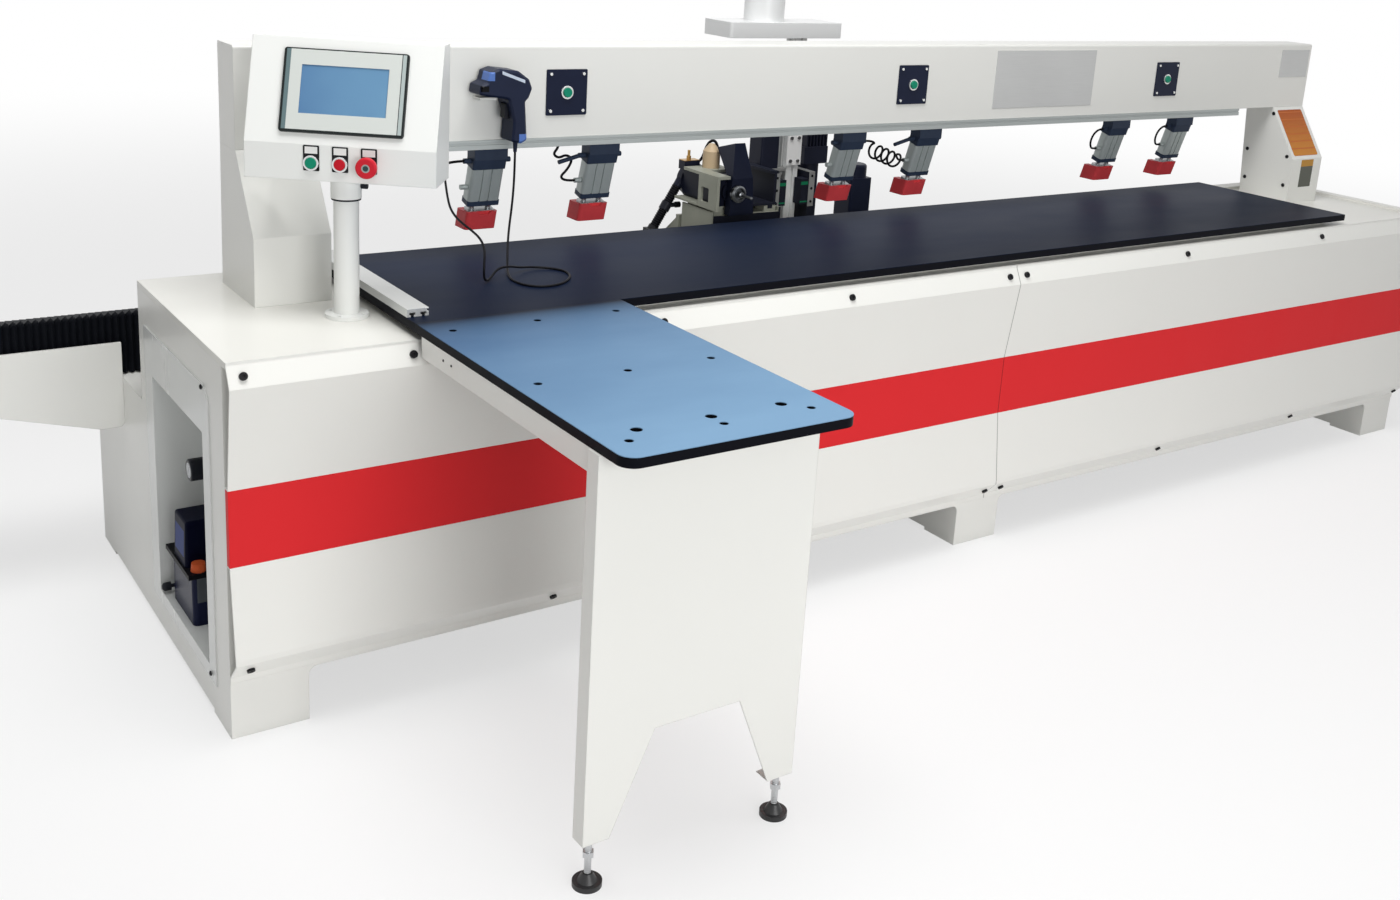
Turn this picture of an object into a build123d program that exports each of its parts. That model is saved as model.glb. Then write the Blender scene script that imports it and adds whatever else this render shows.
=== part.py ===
from build123d import *
from math import atan, cos, hypot, pi, radians, sin, tan
import os

os.makedirs("parts", exist_ok=True)

# Overall sizes in millimetres. The origin is on the floor, under the middle
# of the whole machine. Other places are counted from the left end of the base
# (x), from the front edge of the deck (y) and from the floor (z).
BASE_LEN = 3846.0
BASE_DEPTH = 1035.0
RAIL_OUT = 430.0
EXT_REACH = 753.0
XL = RAIL_OUT - (BASE_LEN + RAIL_OUT) / 2
YF = EXT_REACH - (BASE_DEPTH + EXT_REACH) / 2

# Clearances
RUN_FIT = 0.05
SLIDE_GAP = 0.3
PRESS_GAP = 0.5

# Base frame and deck
PAD_T = 8.0
PAD_LEN = 110.0
FOOT_W = 148.0
ARCH_Z = 111.0
ARCH_R = 18.0
WALL = 6.0
FRAME_Y = 26.0
FRAME_TOP = 734.0
DECK_T = 12.0
DECK_Y = 3.0
DECK_DEPTH = 606.0
LEDGE_Z = 487.0
DECK_Z = FRAME_TOP + DECK_T
POCKET_DEEP = 8.0
BATTEN_H = 13.0
BATTEN_W = 40.0
VENT_LEN = 120.0
VENT_W = 12.0

# Front covers
SHEET = 2.5
COVER_SEAM = 1939.0
COVER_RIDGE_Y = -19.0
COVER_BELLY_Y = -14.0
STRIPE_Y = 8.0
STRIPE_BACK = FRAME_Y - SHEET
STRIPE_Z0 = 356.0
STRIPE_Z1 = 505.0
SCREW_R = 7.5
SCREW_HEAD = 5.0
SCREW_SHANK = 4.0

# Left end cover and its service tray
END_Y0 = 108.0
END_Y1 = 560.0
END_Z0 = 68.0
END_Z1 = 664.0
END_R = 38.0
TRAY_Y0 = 148.0
TRAY_Y1 = 505.0
TRAY_Z0 = 95.0
TRAY_Z1 = 572.0
TRAY_DEEP = 115.0

# Table and the front extension
TABLE_T = 18.0
TABLE_X = 351.0
TABLE_Y0 = 5.6
TABLE_Y1 = 542.6
TABLE_END_GAP = 165.0
EXT_W = 443.0
EXT_R = 28.0
EXT_RAIL = 40.0
EXT_TUBE_WALL = 2.5
LEG_Y = -683.0
LEG_DEEP = 33.0
LEG_Z = 86.0
LEG_X0 = 346.0
LEG_X1 = 770.0
STEM_R = 6.0
FOOT_R = 25.0
FENCE_W = 44.0
FENCE_H = 16.0

# Columns, beam and clamp rail
COLUMN_X = 151.0
COLUMN_W = 155.0
POST_END = 168.0
POST_W = 160.0
POST_Y1 = 498.0
COLUMN_Y0 = 318.0
COLUMN_Y1 = 528.0
COLUMN_KNEE_Z = 884.0
COLUMN_WALL = 4.0
BEAM_Y0 = 420.0
BEAM_DEEP = 100.0
BEAM_Z0 = 1040.0
BEAM_H = 204.0
BEAM_R = 6.0
CLAMP_RAIL_H = 21.0
CLAMP_RAIL_W = 28.0
WINDOW_W = 130.0
WINDOW_H = 164.0
WINDOW_T = 4.0
PANE_W = 66.0
PANE_H = 90.0

# Clamping stations
STATION_X = 884.0
STATION_PITCH = 1034.5
STATION_COUNT = 3
STATION_Z = 1140.0
STATION_PLATE = 102.0
CLAMP_SET = ((-164.0, 125.0), (-154.5, 115.5), (-137.0, 163.0))
CLAMP_LEAN = 16.2
CLAMP_Y = 472.0
CLAMP_W = 78.0
CLAMP_DEEP = 34.0
CAP_W = 80.0
CAP_DEEP = 38.0
CAP_LEN = 30.0
BARREL_LEN = 80.0
LOW_CAP_LEN = 12.0
BARREL_BORE = 13.0
ROD_R = 6.0
ROD_PITCH = 40.0
PAD_W = 75.0
PAD_DEEP = 60.0
PAD_H = 43.0
PAD_BACK = 9.0
PAD_GAP_Z = 45.0

# Control panel on its pedestal
PEDESTAL_X = 292.5
PEDESTAL_Y = 199.5
PEDESTAL_R = 24.0
PEDESTAL_WALL = 3.0
FLANGE_R = 42.0
FLANGE_T = 8.0
SLEEVE_R = 29.0
SLEEVE_LEN = 36.0
PANEL_YAW = -35.8
PANEL_W = 360.0
PANEL_Z = 1017.0
PANEL_FRONT = 40.0
PANEL_BACK = 75.0
PANEL_LOW_H = 68.0
PANEL_HIGH_H = 191.0
PANEL_LEAN = 66.0
PANEL_WALL = 2.5
HMI_W = 234.0
HMI_H = 160.0
SCREEN_W = 163.0
SCREEN_H = 92.0
BUTTON_PITCH = 54.0
BUTTON_R = 10.5
BEZEL_R = 15.0

# Scanner
SCANNER_DEEP = 56.0
SCANNER_Z = 1206.0
CORD_R = 2.5

# Carriage rail at the back
RAIL_BEAM_Y0 = 800.0
RAIL_BEAM_DEEP = 190.0
RAIL_BEAM_H = 58.0
GUIDE_W = 20.0
GUIDE_H = 18.0
GUIDE_Y0 = 838.0
GUIDE_Y1 = 952.0
BRACKET_Y0 = 772.0
BRACKET_Y1 = 1016.0
BRACKET_T = 8.0
SADDLE_X0 = 1400.0
SADDLE_X1 = 2240.0
SADDLE_Y0 = 800.0
SADDLE_Y1 = 1000.0
SADDLE_T = 25.0
BLOCK_H = 33.0
BLOCK_W = 46.0
BLOCK_LEN = 90.0
TOOTH_PITCH = 15.0
PINION_TEETH = 14
PINION_X = 2145.0
PINION_Y = 887.0
BACKLASH = 1.2
BELLOWS_PITCH = 29.0
BELLOWS_DEEP = 12.0
BELLOWS_SKIN = 1.5

# Drilling head
DRILL_X = 1550.0
DRILL_Z = 822.0
MOTOR_SQ = 80.0
MOTOR_Y0 = 700.0
MOTOR_LEN = 170.0
SPINDLE_R = 12.0
NOSE_R = 23.0
BIT_R = 4.0

XR = XL + BASE_LEN
XM = (XL + XR) / 2
TABLE_Z0 = DECK_Z + BATTEN_H
TABLE_Z = TABLE_Z0 + TABLE_T
POST_X1 = BASE_LEN - POST_END
POST_X0 = POST_X1 - POST_W
TABLE_X1 = POST_X0 - TABLE_END_GAP
BEAM_Z1 = BEAM_Z0 + BEAM_H
BEAM_Y1 = BEAM_Y0 + BEAM_DEEP
POCKET_Z = DECK_Z - POCKET_DEEP


def at(x, y, z):
    """Point counted from the base's left end, the deck's front edge and the floor."""
    return (XL + x, YF + y, z)


def block(x, y, z, mode=Mode.ADD):
    """Box between two limits in each direction, added to the part being built."""
    with Locations(at(sum(x) / 2, sum(y) / 2, sum(z) / 2)):
        Box(x[1] - x[0], y[1] - y[0], z[1] - z[0], mode=mode)


def front_plane(x, y, z):
    """Plane facing the operator, with its own x along the machine and y up."""
    return Plane(origin=at(x, y, z), x_dir=(1, 0, 0), z_dir=(0, -1, 0))


def profile_plane(x):
    """Upright plane across the machine, with y to the back and z up."""
    return Plane(origin=at(x, 0, 0), x_dir=(0, 1, 0), z_dir=(1, 0, 0))


# Base frame: a welded sheet housing on three box feet, open underneath
FEET = (0, (BASE_LEN - FOOT_W) / 2, BASE_LEN - FOOT_W)
with BuildPart() as base_frame:
    with BuildSketch(profile_plane(0)):
        with BuildLine():
            Polyline(
                (FRAME_Y, PAD_T), (FRAME_Y, FRAME_TOP), (DECK_DEPTH, FRAME_TOP),
                (DECK_DEPTH, LEDGE_Z), (BASE_DEPTH, LEDGE_Z), (BASE_DEPTH, PAD_T), close=True,
            )
        make_face()
    extrude(amount=BASE_LEN)
    with BuildSketch(profile_plane(WALL)):
        with BuildLine():
            Polyline(
                (FRAME_Y + WALL, 0), (FRAME_Y + WALL, FRAME_TOP - WALL),
                (DECK_DEPTH - WALL, FRAME_TOP - WALL), (DECK_DEPTH - WALL, LEDGE_Z - WALL),
                (BASE_DEPTH - WALL, LEDGE_Z - WALL), (BASE_DEPTH - WALL, 0), close=True,
            )
        make_face()
    extrude(amount=BASE_LEN - 2 * WALL, mode=Mode.SUBTRACT)
    for web in (FOOT_W, FEET[1] + WALL, FEET[1] + FOOT_W, FEET[2] + WALL):
        block((web - WALL, web), (FRAME_Y, BASE_DEPTH), (PAD_T, LEDGE_Z))
    with BuildSketch(front_plane(0, BASE_DEPTH + 1, 0)) as arches:
        for left, right in ((FOOT_W, FEET[1]), (FEET[1] + FOOT_W, FEET[2])):
            with Locations(((left + right) / 2, 0)):
                Rectangle(right - left, 2 * ARCH_Z)
        fillet(arches.vertices().group_by(Axis.Y)[-1], ARCH_R)
    extrude(amount=BASE_DEPTH + 2, mode=Mode.SUBTRACT)
    for foot in FEET:
        block((foot, foot + FOOT_W), (FRAME_Y, FRAME_Y + PAD_LEN), (0, PAD_T))
        block((foot, foot + FOOT_W), (BASE_DEPTH - PAD_LEN, BASE_DEPTH), (0, PAD_T))
    block((-1, WALL + 1), (TRAY_Y0, TRAY_Y1), (TRAY_Z0, TRAY_Z1), Mode.SUBTRACT)
    with BuildSketch(front_plane(BASE_LEN / 2, BASE_DEPTH - WALL - 1, (LEDGE_Z + ARCH_Z) / 2)):
        with GridLocations(BASE_LEN / 2, 3 * VENT_W, 2, 4):
            SlotOverall(VENT_LEN, VENT_W)
    extrude(amount=-WALL - 2, mode=Mode.SUBTRACT)
base_frame.part.label = "base_frame"
export_step(base_frame.part, "parts/base_frame.step")

# Deck plate: the top of the base, with battens under the table and a tray pocket on the right
POCKET = ((BASE_LEN - 456, BASE_LEN - 40), (45, 560))
BATTENS = (TABLE_Y0 + 55, (TABLE_Y0 + TABLE_Y1) / 2, TABLE_Y1 - 55)
with BuildPart() as deck_plate:
    block((0, BASE_LEN), (DECK_Y, DECK_DEPTH), (FRAME_TOP, DECK_Z))
    block(*POCKET, (POCKET_Z, DECK_Z), Mode.SUBTRACT)
    for batten in BATTENS:
        block(
            (TABLE_X + 50, POCKET[0][0] - 90),
            (batten - BATTEN_W / 2, batten + BATTEN_W / 2),
            (DECK_Z, TABLE_Z0),
        )
deck_plate.part.label = "deck_plate"
export_step(deck_plate.part, "parts/deck_plate.step")

# Front covers: folded sheet with a bulged upper band, a recess for the stripe and a sloped lower lip
COVER_LINE = (
    (DECK_Y - SHEET, DECK_Z),
    (DECK_Y - SHEET, DECK_Z - 5),
    (COVER_RIDGE_Y, DECK_Z - 44),
    (STRIPE_Y, STRIPE_Z1),
    (STRIPE_BACK, STRIPE_Z1),
    (STRIPE_BACK, STRIPE_Z0),
    (STRIPE_Y, STRIPE_Z0),
    (COVER_BELLY_Y, ARCH_Z + 68),
    (COVER_BELLY_Y, ARCH_Z + 57),
    (FRAME_Y - SHEET, ARCH_Z + 17),
    (FRAME_Y - SHEET, ARCH_Z + 5),
)
UPPER_BAND = (COVER_LINE[1], COVER_LINE[2])
LOWER_LIP = (COVER_LINE[8], COVER_LINE[9])
LEFT_SCREWS = (
    (27, UPPER_BAND), (341, UPPER_BAND), (893, UPPER_BAND), (1400, UPPER_BAND),
    (COVER_SEAM - 32, UPPER_BAND), (32, LOWER_LIP), (661, LOWER_LIP), (1290, LOWER_LIP),
    (COVER_SEAM - 20, LOWER_LIP),
)
RIGHT_SCREWS = (
    (COVER_SEAM + 27, UPPER_BAND), (2595, UPPER_BAND), (3223, UPPER_BAND),
    (BASE_LEN - 31, UPPER_BAND), (COVER_SEAM + 38, LOWER_LIP), (2608, LOWER_LIP),
    (3240, LOWER_LIP), (BASE_LEN - 31, LOWER_LIP),
)


def band_plane(x, band):
    """Plane on the middle of a sloped band of the cover, facing outwards."""
    (y0, z0), (y1, z1) = band
    return Plane(
        origin=at(x, (y0 + y1) / 2, (z0 + z1) / 2),
        x_dir=(1, 0, 0),
        z_dir=(0, z1 - z0, y0 - y1),
    )


def front_cover(x0, x1, screws):
    """One folded cover between two ends, with its screw holes."""
    with BuildPart() as cover:
        with BuildSketch(profile_plane(x0)):
            with BuildLine():
                Polyline(*COVER_LINE)
                offset(amount=SHEET, kind=Kind.INTERSECTION, side=Side.LEFT)
            make_face()
        extrude(amount=x1 - x0)
        for x, band in screws:
            with BuildSketch(band_plane(x, band)):
                Circle(SCREW_SHANK + SLIDE_GAP)
            extrude(amount=3 * SHEET, both=True, mode=Mode.SUBTRACT)
    return cover


front_cover_left = front_cover(0, COVER_SEAM, LEFT_SCREWS)
front_cover_left.part.label = "front_cover_left"
export_step(front_cover_left.part, "parts/front_cover_left.step")

front_cover_right = front_cover(COVER_SEAM, BASE_LEN, RIGHT_SCREWS)
front_cover_right.part.label = "front_cover_right"
export_step(front_cover_right.part, "parts/front_cover_right.step")

# Front stripes: shallow painted channels that fill the recess of the covers
with BuildPart() as front_stripes:
    for x0, x1 in ((0, COVER_SEAM), (COVER_SEAM, BASE_LEN)):
        block((x0, x1), (STRIPE_Y, STRIPE_BACK), (STRIPE_Z0, STRIPE_Z1))
        block(
            (x0 + SHEET, x1 - SHEET),
            (STRIPE_Y + SHEET, STRIPE_BACK),
            (STRIPE_Z0 + SHEET, STRIPE_Z1 - SHEET),
            Mode.SUBTRACT,
        )
front_stripes.part.label = "front_stripes"
export_step(front_stripes.part, "parts/front_stripes.step")

# Cover screws: socket heads on the sloped bands
with BuildPart() as cover_screws:
    for x, band in LEFT_SCREWS + RIGHT_SCREWS:
        face = band_plane(x, band)
        with BuildSketch(face):
            Circle(SCREW_R)
        extrude(amount=SCREW_HEAD)
        with BuildSketch(face):
            Circle(SCREW_SHANK)
        extrude(amount=-3 * SHEET)
        with BuildSketch(face.offset(SCREW_HEAD)):
            RegularPolygon(SCREW_R / 2, 6)
        extrude(amount=-SCREW_HEAD / 2, mode=Mode.SUBTRACT)
cover_screws.part.label = "cover_screws"
export_step(cover_screws.part, "parts/cover_screws.step")

# Left end cover: a flat plate with a deep open tray for the oil pump and the air service
KNOB_Y = TRAY_Y1 - 25
KNOB_Z = TRAY_Z0 + 17
KNOB_ROD_R = 4.0
with BuildPart() as end_cover:
    with BuildSketch(profile_plane(-SHEET)) as end_sheet:
        with Locations(((END_Y0 + END_Y1) / 2, (END_Z0 + END_Z1) / 2)):
            Rectangle(END_Y1 - END_Y0, END_Z1 - END_Z0)
        fillet(end_sheet.vertices().group_by(Axis.Y)[-1].sort_by(Axis.X)[0], END_R)
    extrude(amount=SHEET)
    block((0, TRAY_DEEP), (TRAY_Y0, TRAY_Y1), (TRAY_Z0, TRAY_Z1))
    block(
        (-SHEET - 1, TRAY_DEEP - SHEET),
        (TRAY_Y0 + SHEET, TRAY_Y1 - SHEET),
        (TRAY_Z0 + SHEET, TRAY_Z1 - SHEET),
        Mode.SUBTRACT,
    )
    with BuildSketch(profile_plane(TRAY_DEEP - SHEET)):
        with Locations((KNOB_Y, KNOB_Z)):
            Circle(2.5 * KNOB_ROD_R)
    extrude(amount=-TRAY_DEEP / 3)
    with BuildSketch(profile_plane(TRAY_DEEP - SHEET)):
        with Locations((KNOB_Y, KNOB_Z)):
            Circle(KNOB_ROD_R + RUN_FIT)
    extrude(amount=-TRAY_DEEP / 2, mode=Mode.SUBTRACT)
end_cover.part.label = "end_cover"
export_step(end_cover.part, "parts/end_cover.step")

# Oil pump: a lid plate that carries the pump housing, fixed to the tray's back wall
LID_Z = 205.0
LID_T = 10.0
LID_X = (2, TRAY_DEEP - SHEET)
LID_Y = (297, 467)
with BuildPart() as lubrication_pump:
    block(LID_X, LID_Y, (LID_Z, LID_Z + LID_T))
    with BuildSketch(Plane(origin=at(0, 0, LID_Z + LID_T))) as pump_foot:
        with Locations((55, (LID_Y[0] + LID_Y[1]) / 2 - 5)):
            RectangleRounded(98, 87, 8)
    extrude(amount=97, taper=2)
    fillet(lubrication_pump.faces().sort_by(Axis.Z)[-1].edges(), 6)
lubrication_pump.part.label = "lubrication_pump"
export_step(lubrication_pump.part, "parts/lubrication_pump.step")

# Oil tank and filler cap: a moulded tank under the lid, and the cap on top of it
TANK_WALL = 3.0
FILLER = (26, LID_Y[0] + 18)
with BuildPart() as oil_tank:
    with BuildSketch(Plane(origin=at(0, 0, TRAY_Z0 + SHEET))):
        with Locations((58, (LID_Y[0] + LID_Y[1]) / 2)):
            RectangleRounded(92, 153, 12)
    extrude(amount=LID_Z - TRAY_Z0 - SHEET)
    offset(amount=-TANK_WALL, openings=oil_tank.faces().sort_by(Axis.Z)[-1])
    with BuildSketch(Plane(origin=at(*FILLER, LID_Z + LID_T))):
        Circle(15)
    extrude(amount=17, taper=6)
oil_tank.part.label = "oil_tank"
export_step(oil_tank.part, "parts/oil_tank.step")

# Air regulator: a round gauge on a stem from the tray's back wall
with BuildPart() as air_regulator:
    with BuildSketch(profile_plane(2)):
        with Locations((270, 450)):
            Circle(22)
    extrude(amount=36)
    chamfer(air_regulator.faces().sort_by(Axis.X)[0].edges(), 2)
    with BuildSketch(profile_plane(38)):
        with Locations((270, 450)):
            Circle(10)
    extrude(amount=TRAY_DEEP - SHEET - 38)
    with BuildSketch(profile_plane(60)):
        with Locations((270, 450)):
            RegularPolygon(17, 6)
    extrude(amount=24)
air_regulator.part.label = "air_regulator"
export_step(air_regulator.part, "parts/air_regulator.step")

# Pull knob: a rod with a ball-ended grip that slides in the boss of the tray
with BuildPart() as pull_knob:
    with BuildSketch(profile_plane(10)):
        with Locations((KNOB_Y, KNOB_Z)):
            Circle(KNOB_ROD_R)
    extrude(amount=TRAY_DEEP - SHEET - 10 - PRESS_GAP)
    with BuildSketch(profile_plane(-6)):
        with Locations((KNOB_Y, KNOB_Z)):
            Circle(9)
    extrude(amount=18)
    fillet(pull_knob.faces().sort_by(Axis.X)[0].edges(), 7)
pull_knob.part.label = "pull_knob"
export_step(pull_knob.part, "parts/pull_knob.step")

# Main table: one long laminated board on the battens
with BuildPart() as main_table:
    block((TABLE_X, TABLE_X1), (TABLE_Y0, TABLE_Y1), (TABLE_Z0, TABLE_Z))
main_table.part.label = "main_table"
export_step(main_table.part, "parts/main_table.step")

# Extension board: the same board turned towards the operator, with sunk screw holes
with BuildPart() as extension_board:
    with BuildSketch(Plane(origin=at(0, 0, TABLE_Z0))) as board:
        with Locations((TABLE_X + EXT_W / 2, (TABLE_Y0 - EXT_REACH) / 2)):
            Rectangle(EXT_W, TABLE_Y0 + EXT_REACH)
        fillet(board.vertices().group_by(Axis.Y)[0], EXT_R)
    extrude(amount=TABLE_T)
    board_top = Plane(origin=at(TABLE_X + EXT_W / 2 - 4, 0, TABLE_Z))
    for hole_y in (-64, -397, 65 - EXT_REACH):
        with Locations(board_top):
            with Locations((-174, hole_y), (0, hole_y), (174, hole_y)):
                CounterBoreHole(radius=3.5, counter_bore_radius=7.5, counter_bore_depth=6)
    with Locations(board_top):
        with Locations((-139, 101 - EXT_REACH), (0, 101 - EXT_REACH), (139, 101 - EXT_REACH)):
            Hole(radius=10)
extension_board.part.label = "extension_board"
export_step(extension_board.part, "parts/extension_board.step")

# Extension frame: two square tubes on a folded leg plate with a sloped cut-out
LEG_FEET = ((LEG_X0 + 21, LEG_Y + LEG_DEEP / 2), (LEG_X1 - 22, LEG_Y + LEG_DEEP / 2))
with BuildPart() as extension_frame:
    block((LEG_X0, LEG_X1), (LEG_Y, LEG_Y + LEG_DEEP), (LEG_Z, TABLE_Z0))
    block(
        (LEG_X0 + SHEET, LEG_X1 - SHEET),
        (LEG_Y + SHEET, LEG_Y + LEG_DEEP),
        (LEG_Z + SHEET, TABLE_Z0 - SHEET),
        Mode.SUBTRACT,
    )
    with BuildSketch(front_plane(0, LEG_Y + LEG_DEEP, 0)):
        with BuildLine():
            Polyline(
                (LEG_X0 + 49, LEG_Z), (LEG_X0 + 128, LEG_Z + 179),
                (LEG_X1 - 127, LEG_Z + 179), (LEG_X1 - 54, LEG_Z), close=True,
            )
        make_face()
    extrude(amount=LEG_DEEP, mode=Mode.SUBTRACT)
    for x0 in (TABLE_X, LEG_X1 - SHEET - EXT_RAIL):
        tube_mid = front_plane(x0 + EXT_RAIL / 2, -2 - DECK_Y + COVER_RIDGE_Y, TABLE_Z0 - EXT_RAIL / 2)
        with BuildSketch(tube_mid):
            Rectangle(EXT_RAIL, EXT_RAIL)
            Rectangle(
                EXT_RAIL - 2 * EXT_TUBE_WALL, EXT_RAIL - 2 * EXT_TUBE_WALL, mode=Mode.SUBTRACT
            )
        extrude(amount=-2 - DECK_Y + COVER_RIDGE_Y - LEG_Y - SHEET)
    for x, y in LEG_FEET:
        with BuildSketch(Plane(origin=at(x, y, LEG_Z))):
            Circle(STEM_R + SLIDE_GAP)
        extrude(amount=SHEET, mode=Mode.SUBTRACT)
extension_frame.part.label = "extension_frame"
export_step(extension_frame.part, "parts/extension_frame.step")

# Levelling feet: screwed stems with swivel pads, through the foot of the leg plate
with BuildPart() as levelling_feet:
    for x, y in LEG_FEET:
        with BuildSketch(Plane(origin=at(x, y, 0))):
            Circle(FOOT_R)
        extrude(amount=9)
        with BuildSketch(Plane(origin=at(x, y, 9))):
            Circle(FOOT_R - 8)
        extrude(amount=14, taper=30)
        with BuildSketch(Plane(origin=at(x, y, 9))):
            Circle(STEM_R)
        extrude(amount=LEG_Z + 50)
        with BuildSketch(Plane(origin=at(x, y, LEG_Z - 32))):
            RegularPolygon(1.7 * STEM_R, 6)
        extrude(amount=10)
levelling_feet.part.label = "levelling_feet"
export_step(levelling_feet.part, "parts/levelling_feet.step")

# Side fence: a slotted aluminium bar across the left end of the table
FENCE_Y = (45, TABLE_Y1 - 3)
with BuildPart() as side_fence:
    with BuildSketch(front_plane(TABLE_X + FENCE_W / 2, FENCE_Y[0], TABLE_Z + FENCE_H / 2)):
        Rectangle(FENCE_W, FENCE_H)
        for side in (-1, 1):
            with Locations((side * FENCE_W / 4, -FENCE_H / 2 + 2)):
                Rectangle(6, 4, mode=Mode.SUBTRACT)
            with Locations((side * FENCE_W / 4, -FENCE_H / 2 + 6)):
                Rectangle(12, 5, mode=Mode.SUBTRACT)
        with Locations((FENCE_W / 2 - 2, 3)):
            Rectangle(4, 5, mode=Mode.SUBTRACT)
    extrude(amount=FENCE_Y[0] - FENCE_Y[1])
side_fence.part.label = "side_fence"
export_step(side_fence.part, "parts/side_fence.step")

# Columns: folded posts with a sloped upper front, open at the foot
SLOPE_Y = BEAM_Y0 - COLUMN_Y0
SLOPE_Z = BEAM_Z0 - COLUMN_KNEE_Z
SLOPE_LEN = hypot(SLOPE_Y, SLOPE_Z)


def column_shell(x0, width, foot_z, foot_back):
    """Hollow post between its foot and the underside of the beam."""
    inner_knee = COLUMN_WALL * (SLOPE_LEN - SLOPE_Z) / SLOPE_Y
    with BuildPart() as column:
        with BuildSketch(profile_plane(x0)):
            with BuildLine():
                Polyline(
                    (COLUMN_Y0, foot_z), (COLUMN_Y0, COLUMN_KNEE_Z), (BEAM_Y0, BEAM_Z0),
                    (BEAM_Y1, BEAM_Z0), (foot_back, foot_z), close=True,
                )
            make_face()
        extrude(amount=width)
        inner_top = BEAM_Z0 - COLUMN_WALL
        lean = (foot_back - BEAM_Y1) / (BEAM_Z0 - foot_z)
        inner_front = BEAM_Y0 + COLUMN_WALL * (SLOPE_LEN - SLOPE_Y) / SLOPE_Z
        with BuildSketch(profile_plane(x0 + COLUMN_WALL)):
            with BuildLine():
                Polyline(
                    (COLUMN_Y0 + COLUMN_WALL, foot_z), (COLUMN_Y0 + COLUMN_WALL, COLUMN_KNEE_Z - inner_knee),
                    (inner_front, inner_top), (BEAM_Y1 - COLUMN_WALL + lean * COLUMN_WALL, inner_top),
                    (foot_back - COLUMN_WALL, foot_z), close=True,
                )
            make_face()
        extrude(amount=width - 2 * COLUMN_WALL, mode=Mode.SUBTRACT)
    return column


left_column = column_shell(COLUMN_X, COLUMN_W, DECK_Z, COLUMN_Y1)
left_column.part.label = "left_column"
export_step(left_column.part, "parts/left_column.step")

# Right post with a large window in its sloped front and a small one below
slope_mid = Plane(
    origin=at(POST_X0 + POST_W / 2, COLUMN_Y0 + SLOPE_Y / 2, COLUMN_KNEE_Z + SLOPE_Z / 2),
    x_dir=(1, 0, 0),
    z_dir=(0, -SLOPE_Z, SLOPE_Y),
)
pane_mid = front_plane(POST_X0 + POST_W / 2 + 4, COLUMN_Y0, COLUMN_KNEE_Z - 4 - PANE_H / 2)
post_shell = column_shell(POST_X0, POST_W, POCKET_Z, POST_Y1)
with BuildPart() as right_post:
    add(post_shell.part)
    with BuildSketch(slope_mid):
        RectangleRounded(WINDOW_W, WINDOW_H, 6)
    extrude(amount=-2 * COLUMN_WALL, mode=Mode.SUBTRACT)
    with BuildSketch(pane_mid):
        Rectangle(PANE_W, PANE_H)
    extrude(amount=-2 * COLUMN_WALL, mode=Mode.SUBTRACT)
right_post.part.label = "right_post"
export_step(right_post.part, "parts/right_post.step")

with BuildPart() as post_window:
    with BuildSketch(slope_mid):
        RectangleRounded(WINDOW_W, WINDOW_H, 6)
    extrude(amount=-WINDOW_T)
    with BuildSketch(pane_mid):
        Rectangle(PANE_W, PANE_H)
    extrude(amount=-WINDOW_T)
post_window.part.label = "post_window"
export_step(post_window.part, "parts/post_window.step")

# Cross beam: a hollow box beam, slotted underneath, with the scanner's hook
STATIONS = [STATION_X + i * STATION_PITCH for i in range(STATION_COUNT)]
SCANNER_X = 737.0
SCANNER_Y1 = BEAM_Y0 - 8
HOOK_Z = SCANNER_Z - 60
BEAM_PORT_R = 6.0
BEAM_PORT_LEN = 16.0
LEFT_PORT = (STATIONS[0] + CLAMP_SET[0][0] - 204, BEAM_Y1 - 40)
DROP_PORT = (STATIONS[0] + 20, BEAM_Y1 - 38)
CORD_PORT = (602, BEAM_Y1 - 60)
with BuildPart() as cross_beam:
    block((COLUMN_X, POST_X1), (BEAM_Y0, BEAM_Y1), (BEAM_Z0, BEAM_Z1))
    fillet(cross_beam.edges().filter_by(Axis.X).group_by(Axis.Z)[-1], BEAM_R)
    block(
        (COLUMN_X + COLUMN_WALL, POST_X1 - COLUMN_WALL),
        (BEAM_Y0 + COLUMN_WALL, BEAM_Y1 - COLUMN_WALL),
        (BEAM_Z0 + COLUMN_WALL, BEAM_Z1 - COLUMN_WALL),
        Mode.SUBTRACT,
    )
    block(
        (COLUMN_X + COLUMN_W + 200, POST_X0 - 60),
        (BEAM_Y1 - 30, BEAM_Y1 - 12),
        (BEAM_Z0 - 1, BEAM_Z0 + COLUMN_WALL + 1),
        Mode.SUBTRACT,
    )
    with BuildSketch(front_plane(0, BEAM_Y0, STATION_Z)):
        with Locations(*[(x, 0) for x in STATIONS]):
            Circle(BUTTON_R + 2)
    extrude(amount=-COLUMN_WALL, mode=Mode.SUBTRACT)
    for x, y in (LEFT_PORT, DROP_PORT, CORD_PORT):
        with BuildSketch(Plane(origin=at(x, y, BEAM_Z0 + COLUMN_WALL))):
            Circle(BEAM_PORT_R)
        extrude(amount=-BEAM_PORT_LEN - COLUMN_WALL)
    block((SCANNER_X - 40, SCANNER_X + 10), (SCANNER_Y1, BEAM_Y0), (HOOK_Z + 6, HOOK_Z + 38))
    block((SCANNER_X - 80, SCANNER_X - 40), (SCANNER_Y1 - 26, BEAM_Y0), (HOOK_Z - 15, HOOK_Z - 9))
cross_beam.part.label = "cross_beam"
export_step(cross_beam.part, "parts/cross_beam.step")

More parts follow.
